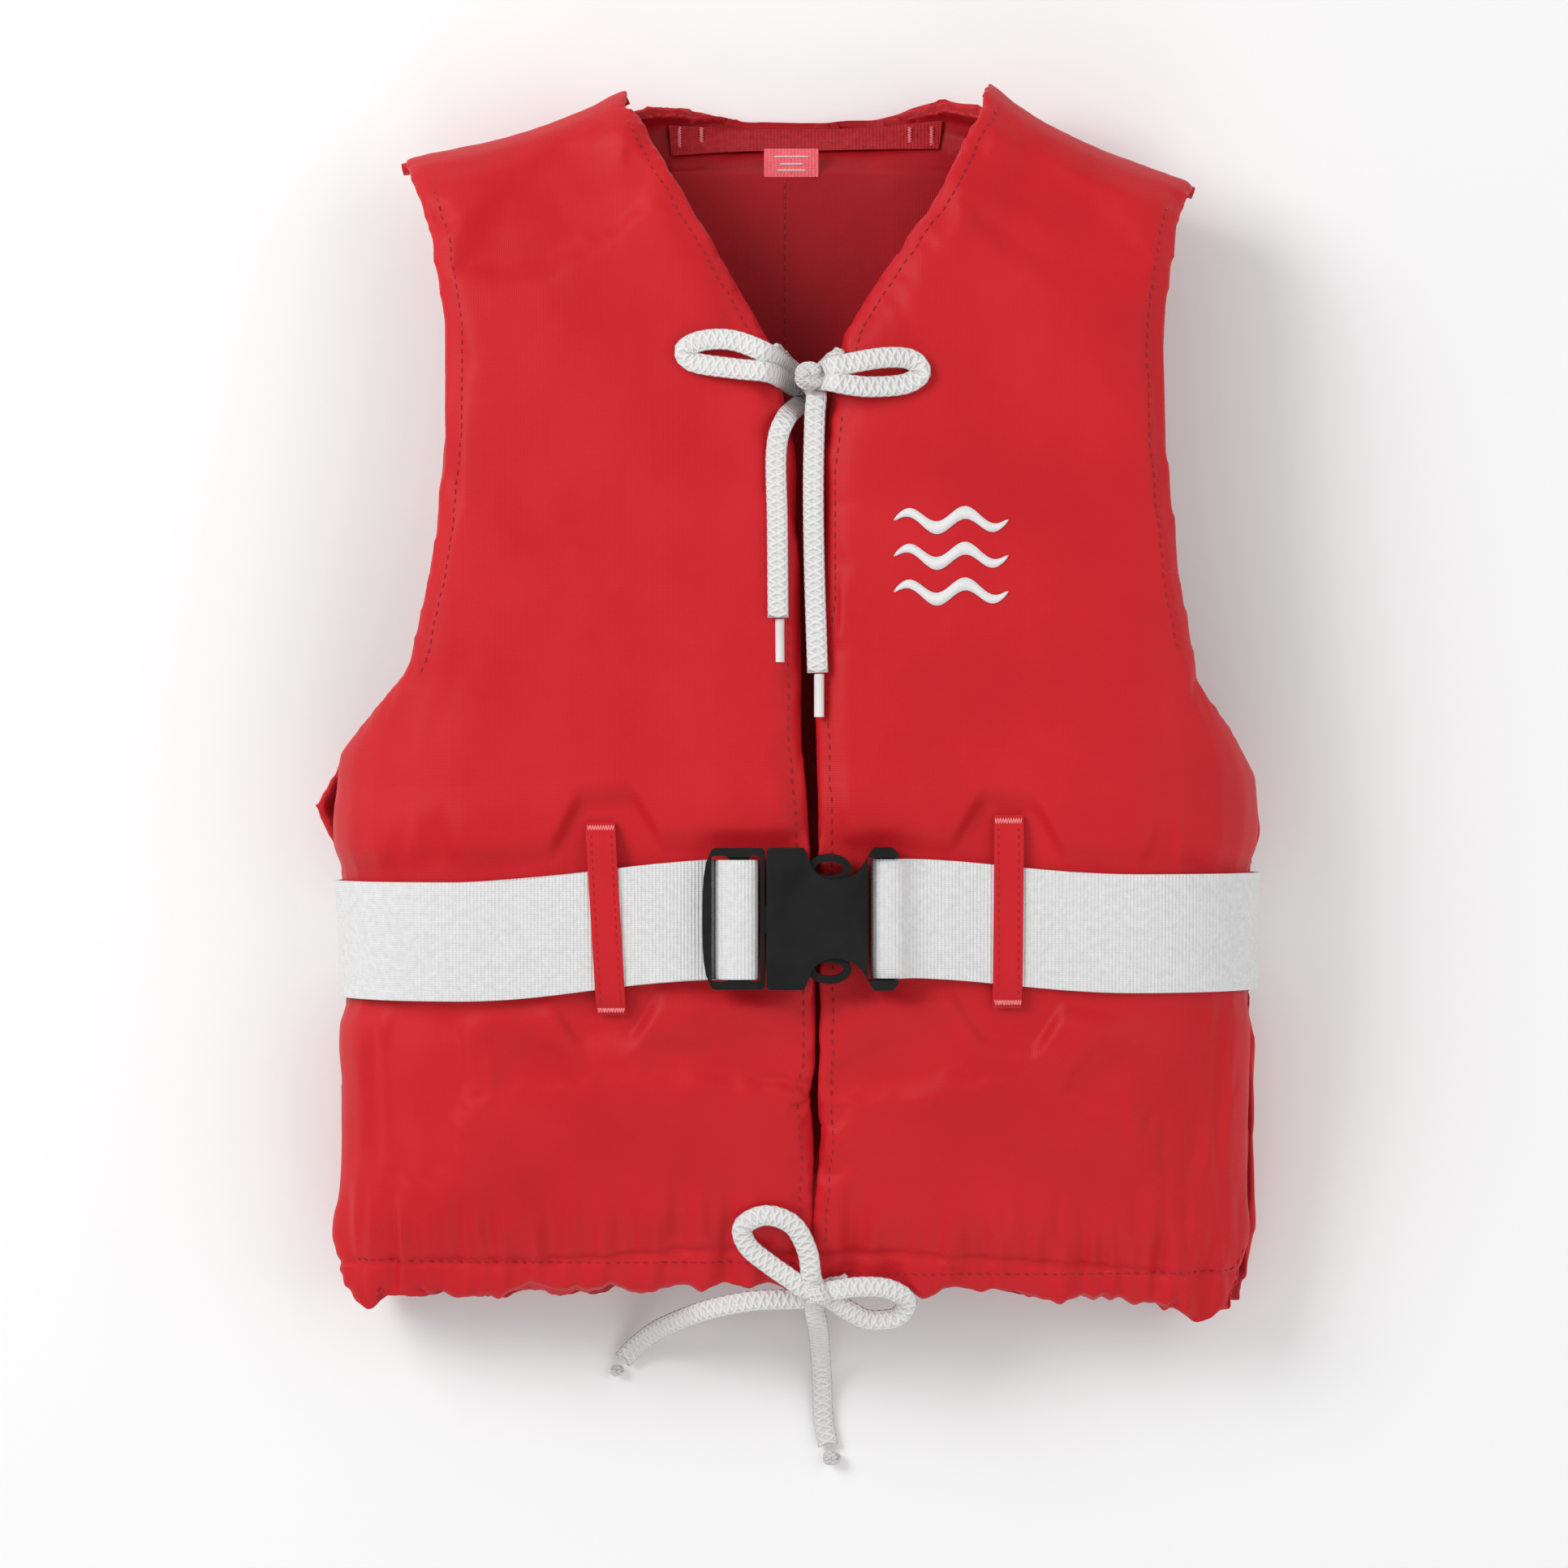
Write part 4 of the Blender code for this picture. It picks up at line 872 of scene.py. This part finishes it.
def neck_details():
    """Bar tacks that hold the strap, its stitching, and the label with a plain generic print."""
    low, high = (Vector(c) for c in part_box("neck_strap"))
    tree = tree_of([STRAP])
    for k, share in enumerate((0.04, 0.12, 0.88, 0.96)):
        x = low.x + (high.x - low.x) * share
        y_mid = (low.y + high.y) / 2
        best = None
        for step in range(24):
            y = low.y + (high.y - low.y) * step / 23
            hit = tree.ray_cast(Vector((x, y, 0.3)), Vector((0, 0, -1)))
            if hit[0] is not None and (best is None or abs(y - y_mid) < abs(best[0].y - y_mid)):
                best = hit
        if best:
            bar_tack(f"strap_tack_{k}", best[0] + Vector((0, 0, 0.0004)), Vector((0, 1, 0)), Vector((1, 0, 0)),
                     Vector((0, 0, 1)), PINK_THREAD, 0.0095, 0.0022)
    seam = [hit[0] + Vector((0, 0, 0.0002)) for hit in
            (INSIDE_FACE.ray_cast(Vector((-0.0017, 0.149 + 0.004 * k, 0.06)), Vector((0, 0, -1))) for k in range(21))
            if hit[0] is not None]
    dashes("centre_back_seam", seam, RED_THREAD, length=0.0040, thick=0.0007, gap=0.0004)
    strap_copy("size_label_cloth", "size_label", LABEL, 1, body="label")
    a, b = (Vector(c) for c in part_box("size_label"))
    for k, (share, width) in enumerate(((0.72, 0.62), (0.46, 0.40), (0.24, 0.52))):
        y = a.y + (b.y - a.y) * share
        mid = Vector(((a.x + b.x) / 2, y, b.z + 0.0001))
        bar_tack(f"label_print_{k}", mid, Vector((1, 0, 0)), Vector((0, 1, 0)), Vector((0, 0, 1)), PRINT,
                 (b.x - a.x) * width, 0.0010, body="label")


neck_details()


def chest_print():
    """A plain printed mark on the left chest: three short wave lines."""
    for k in range(3):
        y = 0.044 + 0.015 * k
        upper, lower = [], []
        for i in range(48):
            share = i / 47
            x = 0.044 + 0.048 * share
            mid = y + 0.0032 * math.sin(share * 4 * math.pi)
            half = 0.0026 * math.sin(math.pi * share) ** 0.5 + 0.0002
            upper.append(on_front(x, mid + half, 0.00025))
            lower.append(on_front(x, mid - half, 0.00025))
        bm = bmesh.new()
        a = [bm.verts.new(p) for p in upper]
        b = [bm.verts.new(p) for p in lower]
        for i in range(47):
            bm.faces.new((b[i], b[i + 1], a[i + 1], a[i]))
        mesh = bpy.data.meshes.new(f"chest_wave_{k}")
        bm.to_mesh(mesh)
        bm.free()
        wave = new_piece(f"chest_wave_{k}", mesh, PRINT)
        thick = wave.modifiers.new("Solidify", "SOLIDIFY")
        thick.thickness = 0.0002
        thick.offset = 1.0


chest_print()


def plastic_buckle():
    for node in ("buckle_male_frame", "buckle_female", "buckle_prong_upper", "buckle_prong_lower"):
        item = NODES[node]
        item.data.materials.clear()
        item.data.materials.append(BLACK)


plastic_buckle()


# ---------------------------------------------------------------- studio
def floor():
    bm = bmesh.new()
    bmesh.ops.create_grid(bm, x_segments=4, y_segments=4, size=3.0)
    mesh = bpy.data.meshes.new("studio_floor")
    bm.to_mesh(mesh)
    bm.free()
    item = bpy.data.objects.new("studio_floor", mesh)
    item.location = (0, 0, -0.0006)
    bpy.context.scene.collection.objects.link(item)
    mat, tree, shader = base_material("pale_floor", 0.9)
    shader.inputs["Base Color"].default_value = (0.92, 0.92, 0.92, 1)
    item.data.materials.append(mat)


def area_light(name, place, aim, size, power):
    light = bpy.data.lights.new(name, "AREA")
    light.size = size
    light.energy = power
    item = bpy.data.objects.new(name, light)
    item.location = place
    item.rotation_euler = (Vector(aim) - Vector(place)).to_track_quat("-Z", "Y").to_euler()
    bpy.context.scene.collection.objects.link(item)


def studio():
    floor()
    area_light("key", (-1.2, 0.7, 1.3), (0, 0, 0.05), 0.9, 20)
    area_light("fill", (1.3, 0.1, 1.3), (0, 0, 0.05), 1.6, 8)
    area_light("low_front", (0.1, -1.4, 1.0), (0, 0, 0.05), 1.2, 4)
    world = bpy.data.worlds.new("soft_white")
    world.use_nodes = True
    world.node_tree.nodes["Background"].inputs["Color"].default_value = (1, 1, 1, 1)
    world.node_tree.nodes["Background"].inputs["Strength"].default_value = 0.52
    bpy.context.scene.world = world
    bpy.context.scene.view_settings.view_transform = "Standard"


def camera():
    """Straight above the jacket, its neck at the top of the frame."""
    lens = bpy.data.cameras.new("camera")
    lens.lens = 100.0
    lens.sensor_width = 36.0
    item = bpy.data.objects.new("camera", lens)
    wide = 0.6665
    subject = 0.07
    item.location = (-0.0003 + SHIFT.x, -0.0357 + SHIFT.y, subject + wide * lens.lens / lens.sensor_width)
    item.rotation_euler = (0, 0, 0)
    bpy.context.scene.collection.objects.link(item)
    bpy.context.scene.camera = item


studio()
camera()
